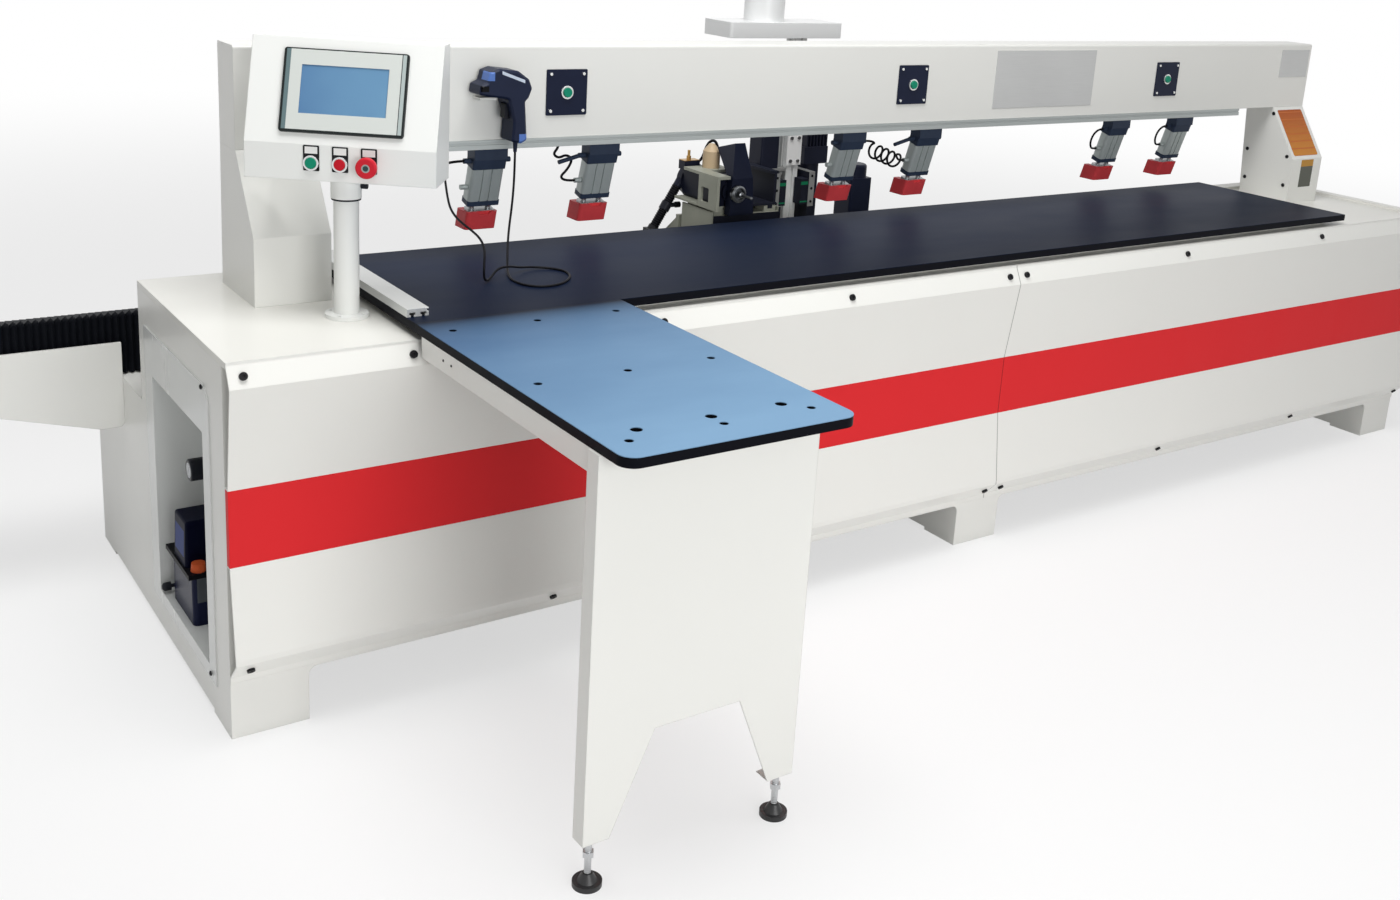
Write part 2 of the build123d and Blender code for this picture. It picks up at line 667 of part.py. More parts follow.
# Clamp rail: a slotted aluminium extrusion under the front edge of the beam
with BuildPart() as clamp_rail:
    rail_mid = profile_plane(COLUMN_X + COLUMN_W + 184)
    with BuildSketch(rail_mid):
        with Locations((BEAM_Y0 + CLAMP_RAIL_W / 2 - 2, BEAM_Z0 - CLAMP_RAIL_H / 2)):
            Rectangle(CLAMP_RAIL_W, CLAMP_RAIL_H)
        with Locations((BEAM_Y0 + CLAMP_RAIL_W / 2 - 2, BEAM_Z0 - CLAMP_RAIL_H + 3)):
            Rectangle(8, 6, mode=Mode.SUBTRACT)
        with Locations((BEAM_Y0 + CLAMP_RAIL_W / 2 - 2, BEAM_Z0 - CLAMP_RAIL_H + 8)):
            Rectangle(15, 6, mode=Mode.SUBTRACT)
        with Locations((BEAM_Y0 - 1, BEAM_Z0 - CLAMP_RAIL_H / 2 + 2)):
            Rectangle(3, 5, mode=Mode.SUBTRACT)
    extrude(amount=POST_X0 - 182 - COLUMN_X - COLUMN_W - 184)
clamp_rail.part.label = "clamp_rail"
export_step(clamp_rail.part, "parts/clamp_rail.step")

# Clamp cylinders hang two to a station, each set along the beam's slot, and lean back
CLAMPS = [x + place for x, pair in zip(STATIONS, CLAMP_SET) for place in pair]
CLAMP_Z = BEAM_Z0 - 40
LEAN_S = sin(radians(CLAMP_LEAN))
LEAN_C = cos(radians(CLAMP_LEAN))
LOW_S = CAP_LEN + BARREL_LEN
RODS = [(-ROD_PITCH / 2, 0), (ROD_PITCH / 2, 0)]


def clamp_plane(x, down):
    """Plane square to a clamp's axis, a distance down from its top, facing up."""
    return Plane(
        origin=at(x, CLAMP_Y + down * LEAN_S, CLAMP_Z - down * LEAN_C),
        x_dir=(1, 0, 0),
        z_dir=(0, -LEAN_S, LEAN_C),
    )


# Clamp caps: the hanger, the upper and lower end caps and their push-in air fittings
HOSE_R = 3.0
FITTING_LEN = 16.0
FITTING_R = 6.0
SILENCER_LEN = 58.0
SILENCER_R = 5.0
UP_PORT_S = 15.0
PORT_Z = CLAMP_Z - UP_PORT_S
UP_PORT_Y = CLAMP_Y + UP_PORT_S * LEAN_S
with BuildPart() as clamp_caps:
    for x in CLAMPS:
        with BuildSketch(Plane(origin=at(x, UP_PORT_Y, PORT_Z), z_dir=(1, 0, 0))):
            Circle(FITTING_R)
        extrude(amount=CAP_W / 2 + FITTING_LEN, both=True)
        with BuildSketch(clamp_plane(x, 0)):
            RectangleRounded(CAP_W, CAP_DEEP, 4)
        extrude(amount=-CAP_LEN)
        block(
            (x - CAP_W / 2, x + CAP_W / 2),
            (CLAMP_Y - CAP_DEEP / 2, CLAMP_Y + CAP_DEEP / 2),
            (CLAMP_Z - 12, BEAM_Z0),
        )
        with BuildSketch(clamp_plane(x, LOW_S)):
            RectangleRounded(CLAMP_W, CLAMP_DEEP, 4)
            with Locations(*RODS):
                Circle(ROD_R + SLIDE_GAP, mode=Mode.SUBTRACT)
        extrude(amount=-LOW_CAP_LEN)
    for x in (CLAMPS[1], CLAMPS[3]):
        side = at(x - CAP_W / 2 - FITTING_LEN + 4, UP_PORT_Y, PORT_Z)
        with BuildSketch(Plane(origin=side, z_dir=(-0.97, 0, -0.24))):
            Circle(SILENCER_R)
        extrude(amount=SILENCER_LEN)
clamp_caps.part.label = "clamp_caps"
export_step(clamp_caps.part, "parts/clamp_caps.step")

# Clamp barrels: flat extrusions with two bores side by side and sensor slots in the front
LOW_PORT_S = 80.0
LOW_PORT_Y = CLAMP_Y + LOW_PORT_S * LEAN_S
LOW_PORT_Z = CLAMP_Z - LOW_PORT_S * LEAN_C
with BuildPart() as clamp_barrels:
    for x in CLAMPS:
        with BuildSketch(clamp_plane(x, CAP_LEN)):
            RectangleRounded(CLAMP_W, CLAMP_DEEP, 9)
            with Locations((-13, -CLAMP_DEEP / 2), (8, -CLAMP_DEEP / 2), (0, CLAMP_DEEP / 2)):
                Rectangle(4, 6, mode=Mode.SUBTRACT)
            with Locations(*RODS):
                Circle(BARREL_BORE, mode=Mode.SUBTRACT)
        extrude(amount=-BARREL_LEN)
        port_face = at(x - CLAMP_W / 2 + 3, LOW_PORT_Y, LOW_PORT_Z)
        with BuildSketch(Plane(origin=port_face, z_dir=(-1, 0, 0))):
            Circle(FITTING_R)
        extrude(amount=FITTING_LEN + 3)
clamp_barrels.part.label = "clamp_barrels"
export_step(clamp_barrels.part, "parts/clamp_barrels.step")


# Clamp pads: notched red pads on a yoke plate, two rods and their pistons, flat underneath
PAD_Z = TABLE_Z + PAD_GAP_Z
PAD_S = (CLAMP_Z - PAD_Z - PAD_H) / LEAN_C
PAD_Y = CLAMP_Y + (CLAMP_Z - PAD_Z) / LEAN_C * LEAN_S + PAD_BACK
YOKE_T = 10.0


def clamp_pads(station):
    """The two pads of one station, each with its yoke, rods and pistons."""
    with BuildPart() as pads:
        for x in CLAMPS[2 * station:2 * station + 2]:
            with BuildSketch(Plane(origin=at(x, PAD_Y, PAD_Z))):
                RectangleRounded(PAD_W, PAD_DEEP, 8)
            extrude(amount=PAD_H / LEAN_C, dir=(0, -LEAN_S, LEAN_C))
            notch = front_plane(x, PAD_Y - PAD_DEEP, PAD_Z + PAD_H)
            with BuildSketch(notch):
                with BuildLine():
                    Polyline((-15, 1), (-7, -7), (15, -7), (23, 1), close=True)
                make_face()
            extrude(amount=-2 * PAD_DEEP, mode=Mode.SUBTRACT)
            with BuildSketch(clamp_plane(x, PAD_S - YOKE_T / 2)):
                RectangleRounded(ROD_PITCH + 4 * ROD_R, CLAMP_DEEP - 6, 4)
            extrude(amount=-YOKE_T - 4)
            with BuildSketch(clamp_plane(x, CAP_LEN + 24)):
                with Locations(*RODS):
                    Circle(ROD_R)
            extrude(amount=CAP_LEN + 24 - PAD_S)
            with BuildSketch(clamp_plane(x, CAP_LEN + 12)):
                with Locations(*RODS):
                    Circle(BARREL_BORE - SLIDE_GAP)
            extrude(amount=-12)
    return pads


clamp_pads_1 = clamp_pads(0)
clamp_pads_1.part.label = "clamp_pads_1"
export_step(clamp_pads_1.part, "parts/clamp_pads_1.step")

clamp_pads_2 = clamp_pads(1)
clamp_pads_2.part.label = "clamp_pads_2"
export_step(clamp_pads_2.part, "parts/clamp_pads_2.step")

clamp_pads_3 = clamp_pads(2)
clamp_pads_3.part.label = "clamp_pads_3"
export_step(clamp_pads_3.part, "parts/clamp_pads_3.step")

# Station plates: square plates on the beam with corner screws and a button bezel
with BuildPart() as station_plates:
    for x in STATIONS:
        plate_face = front_plane(x, BEAM_Y0, STATION_Z)
        with BuildSketch(plate_face):
            RectangleRounded(STATION_PLATE, STATION_PLATE, 3)
            Circle(BUTTON_R + PRESS_GAP, mode=Mode.SUBTRACT)
        extrude(amount=3)
        with BuildSketch(plate_face.offset(3)):
            Circle(BEZEL_R)
            Circle(BUTTON_R + PRESS_GAP, mode=Mode.SUBTRACT)
            with GridLocations(STATION_PLATE - 20, STATION_PLATE - 20, 2, 2):
                Circle(3.5)
        extrude(amount=3)
station_plates.part.label = "station_plates"
export_step(station_plates.part, "parts/station_plates.step")


def push_button(face, proud, back):
    """Round push button that stands proud of a face and reaches behind it."""
    with BuildPart() as button:
        with BuildSketch(face.offset(proud)):
            Circle(BUTTON_R)
        extrude(amount=-proud - back)
        fillet(button.faces().filter_by(GeomType.PLANE).sort_by(Axis.Y)[0].edges(), 1)
    return button


station_button_1 = push_button(front_plane(STATIONS[0], BEAM_Y0, STATION_Z), 10, 14)
station_button_1.part.label = "station_button_1"
export_step(station_button_1.part, "parts/station_button_1.step")

station_button_2 = push_button(front_plane(STATIONS[1], BEAM_Y0, STATION_Z), 10, 14)
station_button_2.part.label = "station_button_2"
export_step(station_button_2.part, "parts/station_button_2.step")

station_button_3 = push_button(front_plane(STATIONS[2], BEAM_Y0, STATION_Z), 10, 14)
station_button_3.part.label = "station_button_3"
export_step(station_button_3.part, "parts/station_button_3.step")

# Pedestal: a bolted flange and a tube on the deck
with BuildPart() as pedestal:
    with BuildSketch(Plane(origin=at(PEDESTAL_X, PEDESTAL_Y, DECK_Z))):
        Circle(FLANGE_R)
        with PolarLocations(FLANGE_R - 8, 4, start_angle=45):
            Circle(3.5, mode=Mode.SUBTRACT)
    extrude(amount=FLANGE_T)
    with BuildSketch(Plane(origin=at(PEDESTAL_X, PEDESTAL_Y, DECK_Z))):
        Circle(PEDESTAL_R)
    extrude(amount=PANEL_Z - DECK_Z - SLIDE_GAP)
    with BuildSketch(Plane(origin=at(PEDESTAL_X, PEDESTAL_Y, DECK_Z))):
        Circle(PEDESTAL_R - PEDESTAL_WALL)
    extrude(amount=PANEL_Z - DECK_Z, mode=Mode.SUBTRACT)
pedestal.part.label = "pedestal"
export_step(pedestal.part, "parts/pedestal.step")

# Panel box: a folded console with a lower button face and a leaning screen face
YAW_C = cos(radians(PANEL_YAW))
YAW_S = sin(radians(PANEL_YAW))
PANEL_TOP = PANEL_Z + PANEL_LOW_H + PANEL_HIGH_H
PANEL_FACE_LEN = hypot(PANEL_LEAN, PANEL_HIGH_H)


def panel_point(along, back, z):
    """Point counted from the pedestal's axis, along and behind the panel."""
    return at(
        PEDESTAL_X + along * YAW_C - back * YAW_S, PEDESTAL_Y + along * YAW_S + back * YAW_C, z
    )


panel_section = Plane(origin=panel_point(0, 0, 0), x_dir=(-YAW_S, YAW_C, 0), z_dir=(YAW_C, YAW_S, 0))
button_face = Plane(
    origin=panel_point(0, -PANEL_FRONT, PANEL_Z + PANEL_LOW_H / 2),
    x_dir=(YAW_C, YAW_S, 0),
    z_dir=(YAW_S, -YAW_C, 0),
)
screen_face = Plane(
    origin=panel_point(0, PANEL_LEAN / 2 - PANEL_FRONT, PANEL_Z + PANEL_LOW_H + PANEL_HIGH_H / 2),
    x_dir=(YAW_C, YAW_S, 0),
    z_dir=(YAW_S * PANEL_HIGH_H, -YAW_C * PANEL_HIGH_H, PANEL_LEAN),
)
BUTTONS = [(i * BUTTON_PITCH, 0) for i in (-1, 0, 1)]
with BuildPart() as panel_box:
    with BuildSketch(panel_section) as console:
        with BuildLine():
            Polyline(
                (-PANEL_FRONT, PANEL_Z), (-PANEL_FRONT, PANEL_Z + PANEL_LOW_H),
                (PANEL_LEAN - PANEL_FRONT, PANEL_TOP), (PANEL_BACK, PANEL_TOP),
                (PANEL_BACK, PANEL_Z), close=True,
            )
        make_face()
    extrude(amount=PANEL_W / 2, both=True)
    with BuildSketch(panel_section):
        add(console.sketch_local)
        offset(amount=-PANEL_WALL, kind=Kind.INTERSECTION, mode=Mode.REPLACE)
    extrude(amount=PANEL_W / 2 - PANEL_WALL, both=True, mode=Mode.SUBTRACT)
    with BuildSketch(screen_face):
        Rectangle(HMI_W - 20, HMI_H - 20)
    extrude(amount=-2 * PANEL_WALL, mode=Mode.SUBTRACT)
    with BuildSketch(button_face):
        with Locations(*BUTTONS):
            Circle(BUTTON_R + PRESS_GAP)
    extrude(amount=-2 * PANEL_WALL, mode=Mode.SUBTRACT)
    with BuildSketch(Plane(origin=panel_point(0, 0, PANEL_Z))):
        Circle(SLEEVE_R)
        Circle(PEDESTAL_R + SLIDE_GAP, mode=Mode.SUBTRACT)
    extrude(amount=-SLEEVE_LEN)
panel_box.part.label = "panel_box"
export_step(panel_box.part, "parts/panel_box.step")

# Operator screen: a bezel with a sunk display, let into the leaning face
with BuildPart() as hmi_unit:
    with BuildSketch(screen_face):
        RectangleRounded(HMI_W, HMI_H, 6)
    extrude(amount=6, taper=8)
    with BuildSketch(screen_face.offset(6)):
        with Locations((0, 2)):
            Rectangle(SCREEN_W, SCREEN_H)
    extrude(amount=-1.5, mode=Mode.SUBTRACT)
    with BuildSketch(screen_face):
        Rectangle(HMI_W - 24, HMI_H - 24)
    extrude(amount=-30)
hmi_unit.part.label = "hmi_unit"
export_step(hmi_unit.part, "parts/hmi_unit.step")

# Legend plates: a plate and a metal bezel for each panel button
with BuildPart() as legend_plates:
    with BuildSketch(button_face):
        for x, _ in BUTTONS:
            with Locations((x, 9)):
                RectangleRounded(2 * BEZEL_R, 48, 2)
        with Locations(*BUTTONS):
            Circle(BUTTON_R + PRESS_GAP, mode=Mode.SUBTRACT)
    extrude(amount=1.5)
    with BuildSketch(button_face.offset(1.5)):
        with Locations(*BUTTONS):
            Circle(BEZEL_R - 0.5)
            Circle(BUTTON_R + PRESS_GAP, mode=Mode.SUBTRACT)
    extrude(amount=4)
legend_plates.part.label = "legend_plates"
export_step(legend_plates.part, "parts/legend_plates.step")

button_planes = [
    Plane(origin=panel_point(x, -PANEL_FRONT, PANEL_Z + PANEL_LOW_H / 2),
          x_dir=(YAW_C, YAW_S, 0), z_dir=(YAW_S, -YAW_C, 0))
    for x, _ in BUTTONS
]
start_button = push_button(button_planes[0], 8, 18)
start_button.part.label = "start_button"
export_step(start_button.part, "parts/start_button.step")

stop_button = push_button(button_planes[1], 8, 18)
stop_button.part.label = "stop_button"
export_step(stop_button.part, "parts/stop_button.step")

# Emergency stop: a mushroom head on a stem
with BuildPart() as estop_button:
    with BuildSketch(button_planes[2].offset(-18)):
        Circle(BUTTON_R)
    extrude(amount=34)
    with BuildSketch(button_planes[2].offset(14)):
        Circle(20)
    extrude(amount=13)
    fillet(estop_button.edges().filter_by(GeomType.CIRCLE).group_by(SortBy.RADIUS)[-1], 4)
estop_button.part.label = "estop_button"
export_step(estop_button.part, "parts/estop_button.step")

# Hand scanner on its hook: a pistol shape with the nose to the left
scanner_side = front_plane(SCANNER_X, SCANNER_Y1, HOOK_Z)
HANDLE_LEN = 106.0
CORD_EXIT = 5.0
TRIGGER_DEEP = 9.0
TRIGGER_LEN = 34.0
TRIGGER_U = -23.0
TRIGGER_V = -37.0
with BuildPart() as scanner_body:
    with BuildSketch(scanner_side) as pistol:
        with BuildLine():
            Polyline(
                (-94, 0), (-91, 20), (-75, 27), (-70, 48), (-50, 55), (-4, 50), (22, 32), (30, 12), (22, -8),
                (14, -16), (20, -98), (7, -HANDLE_LEN), (-16, -102), (-13, -58), (-26, -10), close=True,
            )
        make_face()
        fillet(pistol.vertices(), 6)
    extrude(amount=SCANNER_DEEP)
    chamfer(scanner_body.faces().sort_by(Axis.Y)[0].edges(), 4.5)
    with BuildSketch(scanner_side.offset(SCANNER_DEEP / 2)):
        with Locations((TRIGGER_U + TRIGGER_DEEP / 2, TRIGGER_V)):
            Rectangle(2 * TRIGGER_DEEP, TRIGGER_LEN)
    extrude(amount=11, both=True, mode=Mode.SUBTRACT)
    cord_exit = at(SCANNER_X + CORD_EXIT, SCANNER_Y1 - SCANNER_DEEP / 2, HOOK_Z - HANDLE_LEN + 8)
    with BuildSketch(Plane(origin=cord_exit)):
        Circle(2.4 * CORD_R)
    extrude(amount=-30, taper=4)
scanner_body.part.label = "scanner_body"
export_step(scanner_body.part, "parts/scanner_body.step")

# Scanner trigger, let into the front of the handle
with BuildPart() as scanner_trigger:
    with BuildSketch(scanner_side.offset(SCANNER_DEEP / 2)) as lever:
        with Locations((TRIGGER_U, TRIGGER_V)):
            Rectangle(TRIGGER_DEEP, TRIGGER_LEN - 2 * SLIDE_GAP)
        fillet(lever.vertices().group_by(Axis.X)[0], 4)
    extrude(amount=11 - SLIDE_GAP, both=True)
scanner_trigger.part.label = "scanner_trigger"
export_step(scanner_trigger.part, "parts/scanner_trigger.step")


def cord_radii(points):
    """Largest bend at each corner of a route, so that neighbouring bends just leave room."""
    radii = []
    for before, here, after in zip(points, points[1:], points[2:]):
        run_in = Vector(*here) - Vector(*before)
        run_out = Vector(*after) - Vector(*here)
        turn = radians(run_in.get_angle(run_out))
        radii.append(0.45 * min(run_in.length, run_out.length) / tan(turn / 2))
    return radii


def tube_along(points, radius):
    """Round tube along straight runs joined by tangent bends."""
    radii = cord_radii(points)
    with BuildPart() as tube:
        with BuildLine() as route:
            FilletPolyline(*points, radius=radii)
        with BuildSketch(Plane(origin=points[0], z_dir=Vector(*points[1]) - Vector(*points[0]))):
            Circle(radius)
        sweep()
    length = route.wire().length
    share = tube.part.volume / (pi * radius ** 2 * length)
    print("tube", round(length), "mm, least bend", round(min(radii), 1), "share", round(share, 3))
    return tube


# Scanner cord: down from the handle, loosely over the table and up into the beam
CORD_Z = TABLE_Z + CORD_R
CORD_TOP = HOOK_Z - HANDLE_LEN - 22
CORD_ROUTE = [
    at(SCANNER_X + CORD_EXIT, SCANNER_Y1 - SCANNER_DEEP / 2, CORD_TOP),
    at(SCANNER_X + CORD_EXIT, SCANNER_Y1 - SCANNER_DEEP / 2, CORD_TOP - 40), at(740, 383, CORD_TOP - 83),
    at(733, 376, CORD_TOP - 123), at(722, 364, CORD_TOP - 160), at(708, 342, CORD_TOP - 194),
    at(690, 306, CORD_Z + 8), at(668, 258, CORD_Z), at(655, 212, CORD_Z), at(660, 168, CORD_Z),
    at(690, 142, CORD_Z), at(730, 146, CORD_Z), at(764, 170, CORD_Z), at(790, 204, CORD_Z),
    at(798, 246, CORD_Z), at(776, 280, CORD_Z), at(738, 290, CORD_Z + 3), at(704, 277, CORD_Z + 8),
    at(672, 259, CORD_Z + 12), at(640, 252, CORD_Z + 8), at(612, 232, CORD_Z),
    at(589, 210, CORD_Z + 6), at(588, 209, CORD_Z + 38), at(597, 224, CORD_Z + 66),
    at(601, 252, CORD_Z + 84), at(598, 296, CORD_Z + 95), at(592, 342, CORD_Z + 105),
    at(592, 384, CORD_Z + 120), at(597, 412, CORD_Z + 144), at(601, 432, CORD_Z + 174),
    at(602, 448, CORD_Z + 202), at(*CORD_PORT, BEAM_Z0 - BEAM_PORT_LEN - 22),
    at(*CORD_PORT, BEAM_Z0 - BEAM_PORT_LEN),
]
scanner_cord = tube_along(CORD_ROUTE, CORD_R)
scanner_cord.part.label = "scanner_cord"
export_step(scanner_cord.part, "parts/scanner_cord.step")

# Air hoses of the clamps: a run to the left end, a loose drop and a coiled lead
COIL_R = 19.0
COIL_PITCH = 24.0
COIL_TURNS = 4
COIL_DROP = radians(20)
COIL_AT = (CLAMPS[2] + CAP_W / 2 + 44, UP_PORT_Y, PORT_Z - 26)


def coil_point(turns):
    """Point and direction of the coiled lead after so many turns, about an axis that sinks to the right."""
    angle = 2 * pi * turns
    step = COIL_PITCH / (2 * pi)
    axis = Vector(cos(COIL_DROP), 0, -sin(COIL_DROP))
    rise = Vector(sin(COIL_DROP), 0, cos(COIL_DROP))
    back = Vector(0, 1, 0)
    point = Vector(*at(*COIL_AT)) + axis * (COIL_PITCH * turns)
    point += rise * (COIL_R * cos(angle)) + back * (COIL_R * sin(angle))
    course = axis * step + back * (COIL_R * cos(angle)) - rise * (COIL_R * sin(angle))
    return point, course.normalized()


def biarc(start, start_dir, end, end_dir):
    """Two tangent arcs between two points with given directions."""
    gap = end - start
    both = start_dir + end_dir
    spread = 2 * (1 - start_dir.dot(end_dir))
    if spread < 1e-9:
        Line(start, end)
        return
    reach = gap.dot(both)
    arm = (((reach ** 2 + spread * gap.dot(gap)) ** 0.5) - reach) / spread
    near = start + start_dir * arm
    far = end - end_dir * arm
    middle = (near + far) * 0.5
    TangentArc(start, middle, tangent=start_dir)
    TangentArc(middle, end, tangent=far - near)


CAP_END = CAP_W / 2 + FITTING_LEN
LOW_END = CLAMP_W / 2 + FITTING_LEN
CAP_PORT = at(CLAMPS[0] - CAP_END, UP_PORT_Y, PORT_Z)
DROP_END = at(CLAMPS[1] - LOW_END, LOW_PORT_Y, LOW_PORT_Z)
COIL_PORT = at(CLAMPS[2] + CAP_END, UP_PORT_Y, PORT_Z)
COIL_END = at(CLAMPS[3] - LOW_END, LOW_PORT_Y, LOW_PORT_Z)
BEAM_PORT_Z = BEAM_Z0 - BEAM_PORT_LEN
LEFT_RUN = [
    CAP_PORT, at(CLAMPS[0] - CAP_END - 24, UP_PORT_Y, PORT_Z), at(CLAMPS[0] - CAP_END - 54, 477, PORT_Z - 6),
    at(CLAMPS[0] - CAP_END - 94, 478, PORT_Z - 9), at(CLAMPS[0] - CAP_END - 126, 479, PORT_Z + 2),
    at(CLAMPS[0] - CAP_END - 142, 480, PORT_Z + 14), at(*LEFT_PORT, BEAM_PORT_Z - 12), at(*LEFT_PORT, BEAM_PORT_Z),
]
DROP_X, DROP_Y = DROP_PORT
DROP_RUN = [
    at(DROP_X, DROP_Y, BEAM_PORT_Z), at(DROP_X, DROP_Y, BEAM_PORT_Z - 18),
    at(DROP_X - 15, DROP_Y + 1, BEAM_PORT_Z - 34), at(DROP_X + 1, DROP_Y + 2, BEAM_PORT_Z - 45),
    at(DROP_X + 21, DROP_Y + 3, BEAM_PORT_Z - 37), at(DROP_X + 40, DROP_Y + 5, BEAM_PORT_Z - 49),
    at(DROP_X + 28, DROP_Y + 8, BEAM_PORT_Z - 74), at(DROP_X + 10, DROP_Y + 10, BEAM_PORT_Z - 90),
    at(CLAMPS[1] - LOW_END - 24, LOW_PORT_Y, LOW_PORT_Z), DROP_END,
]
left_hose = tube_along(LEFT_RUN, HOSE_R)
drop_hose = tube_along(DROP_RUN, HOSE_R)


def loop_run(x):
    """Route of a short loop from a clamp's upper port to its lower one, on the left."""
    return [
        at(x - CAP_END, UP_PORT_Y, PORT_Z), at(x - CAP_END - 16, UP_PORT_Y, PORT_Z),
        at(x - CAP_END - 34, UP_PORT_Y + 3, PORT_Z - 14), at(x - CAP_END - 38, UP_PORT_Y + 9, PORT_Z - 38),
        at(x - LOW_END - 26, LOW_PORT_Y - 2, LOW_PORT_Z + 4), at(x - LOW_END - 14, LOW_PORT_Y, LOW_PORT_Z),
        at(x - LOW_END, LOW_PORT_Y, LOW_PORT_Z),
    ]


loop_hoses = [tube_along(loop_run(x), HOSE_R) for x in CLAMPS[4:]]

with BuildPart() as coil_hose:
    coil_start, coil_course = coil_point(0)
    coil_end, coil_leave = coil_point(COIL_TURNS)
    port = Vector(*COIL_PORT)
    exit_end = Vector(*COIL_END)
    ahead = Vector(1, 0, 0)
    with BuildLine() as coil_route:
        Line(port, port + ahead * 2 * HOSE_R)
        biarc(port + ahead * 2 * HOSE_R, ahead, coil_start, coil_course)
        for quarter in range(4 * COIL_TURNS):
            biarc(*coil_point(quarter / 4), *coil_point((quarter + 1) / 4))
        biarc(coil_end, coil_leave, exit_end - ahead * 2 * HOSE_R, ahead)
        Line(exit_end - ahead * 2 * HOSE_R, exit_end)
    with BuildSketch(Plane(origin=port, z_dir=ahead)):
        Circle(HOSE_R)
    sweep()
turn_points = [coil_point(i / 24)[0] for i in range(24 * COIL_TURNS + 1)]
self_gap = min(
    (turn_points[i] - turn_points[j]).length - 2 * HOSE_R
    for i in range(len(turn_points)) for j in range(i + 14, len(turn_points))
)
print("coiled lead, least gap to itself", round(self_gap, 2), "volume share",
      round(coil_hose.part.volume / (pi * HOSE_R ** 2 * coil_route.wire().length), 3))

with BuildPart() as air_hoses:
    add(left_hose.part)
    add(drop_hose.part)
    add(coil_hose.part)
    for hose in loop_hoses:
        add(hose.part)
air_hoses.part.label = "air_hoses"
export_step(air_hoses.part, "parts/air_hoses.step")

# Rail beam: a box beam on the rear ledge, carried past the left end by two tapered plates
RAIL_Z = LEDGE_Z + RAIL_BEAM_H
BRACKET_TOP = RAIL_Z + 20
END_PLATE = 6.0
BELLOWS_Y0 = RAIL_BEAM_Y0 - BELLOWS_DEEP - BELLOWS_SKIN - 1
BELLOWS_Y1 = RAIL_BEAM_Y0 + RAIL_BEAM_DEEP + BELLOWS_DEEP + BELLOWS_SKIN + 1
BELLOWS_Z0 = LEDGE_Z + 3
BELLOWS_Z1 = RAIL_Z + 87
BELLOWS_ZB = RAIL_Z + 27
with BuildPart() as rail_beam:
    with BuildSketch(profile_plane(-RAIL_OUT)):
        with Locations((RAIL_BEAM_Y0 + RAIL_BEAM_DEEP / 2, LEDGE_Z + RAIL_BEAM_H / 2)):
            Rectangle(RAIL_BEAM_DEEP, RAIL_BEAM_H)
            Rectangle(RAIL_BEAM_DEEP - 2 * WALL, RAIL_BEAM_H - 2 * WALL, mode=Mode.SUBTRACT)
    extrude(amount=RAIL_OUT + BASE_LEN)
    for y in (BRACKET_Y0 + BRACKET_T, BRACKET_Y1):
        with BuildSketch(front_plane(0, y, 0)) as cheek:
            with BuildLine():
                Polyline(
                    (0, LEDGE_Z - 115), (0, BRACKET_TOP), (-RAIL_OUT, BRACKET_TOP),
                    (-RAIL_OUT, LEDGE_Z - 8), (-51, LEDGE_Z - 115), close=True,
                )
            make_face()
            fillet(cheek.vertices().sort_by(Axis.X)[-1:], 12)
        extrude(amount=BRACKET_T)
    block((-RAIL_OUT, 0), (BRACKET_Y0, BRACKET_Y1), (LEDGE_Z - 8, LEDGE_Z))
    for x in (-RAIL_OUT, BASE_LEN - END_PLATE):
        with BuildSketch(profile_plane(x)):
            with BuildLine():
                Polyline(
                    (BELLOWS_Y0, LEDGE_Z), (BELLOWS_Y0, BELLOWS_Z1), (BELLOWS_Y1, BELLOWS_ZB),
                    (BELLOWS_Y1, LEDGE_Z), close=True,
                )
            make_face()
        extrude(amount=END_PLATE)
        block(
            (x, x + END_PLATE),
            (RAIL_BEAM_Y0 + WALL, RAIL_BEAM_Y0 + RAIL_BEAM_DEEP - WALL),
            (LEDGE_Z + WALL, RAIL_Z - WALL),
            Mode.SUBTRACT,
        )
rail_beam.part.label = "rail_beam"
export_step(rail_beam.part, "parts/rail_beam.step")

# Guide rails: two profiled rails with waisted sides
with BuildPart() as guide_rails:
    for y in (GUIDE_Y0, GUIDE_Y1):
        with BuildSketch(profile_plane(END_PLATE - RAIL_OUT)):
            with Locations((y, RAIL_Z + GUIDE_H / 2)):
                Rectangle(GUIDE_W, GUIDE_H)
                with Locations((-GUIDE_W / 2, 1), (GUIDE_W / 2, 1)):
                    Rectangle(4, 5, rotation=45, mode=Mode.SUBTRACT)
        extrude(amount=RAIL_OUT + BASE_LEN - 2 * END_PLATE)
guide_rails.part.label = "guide_rails"
export_step(guide_rails.part, "parts/guide_rails.step")

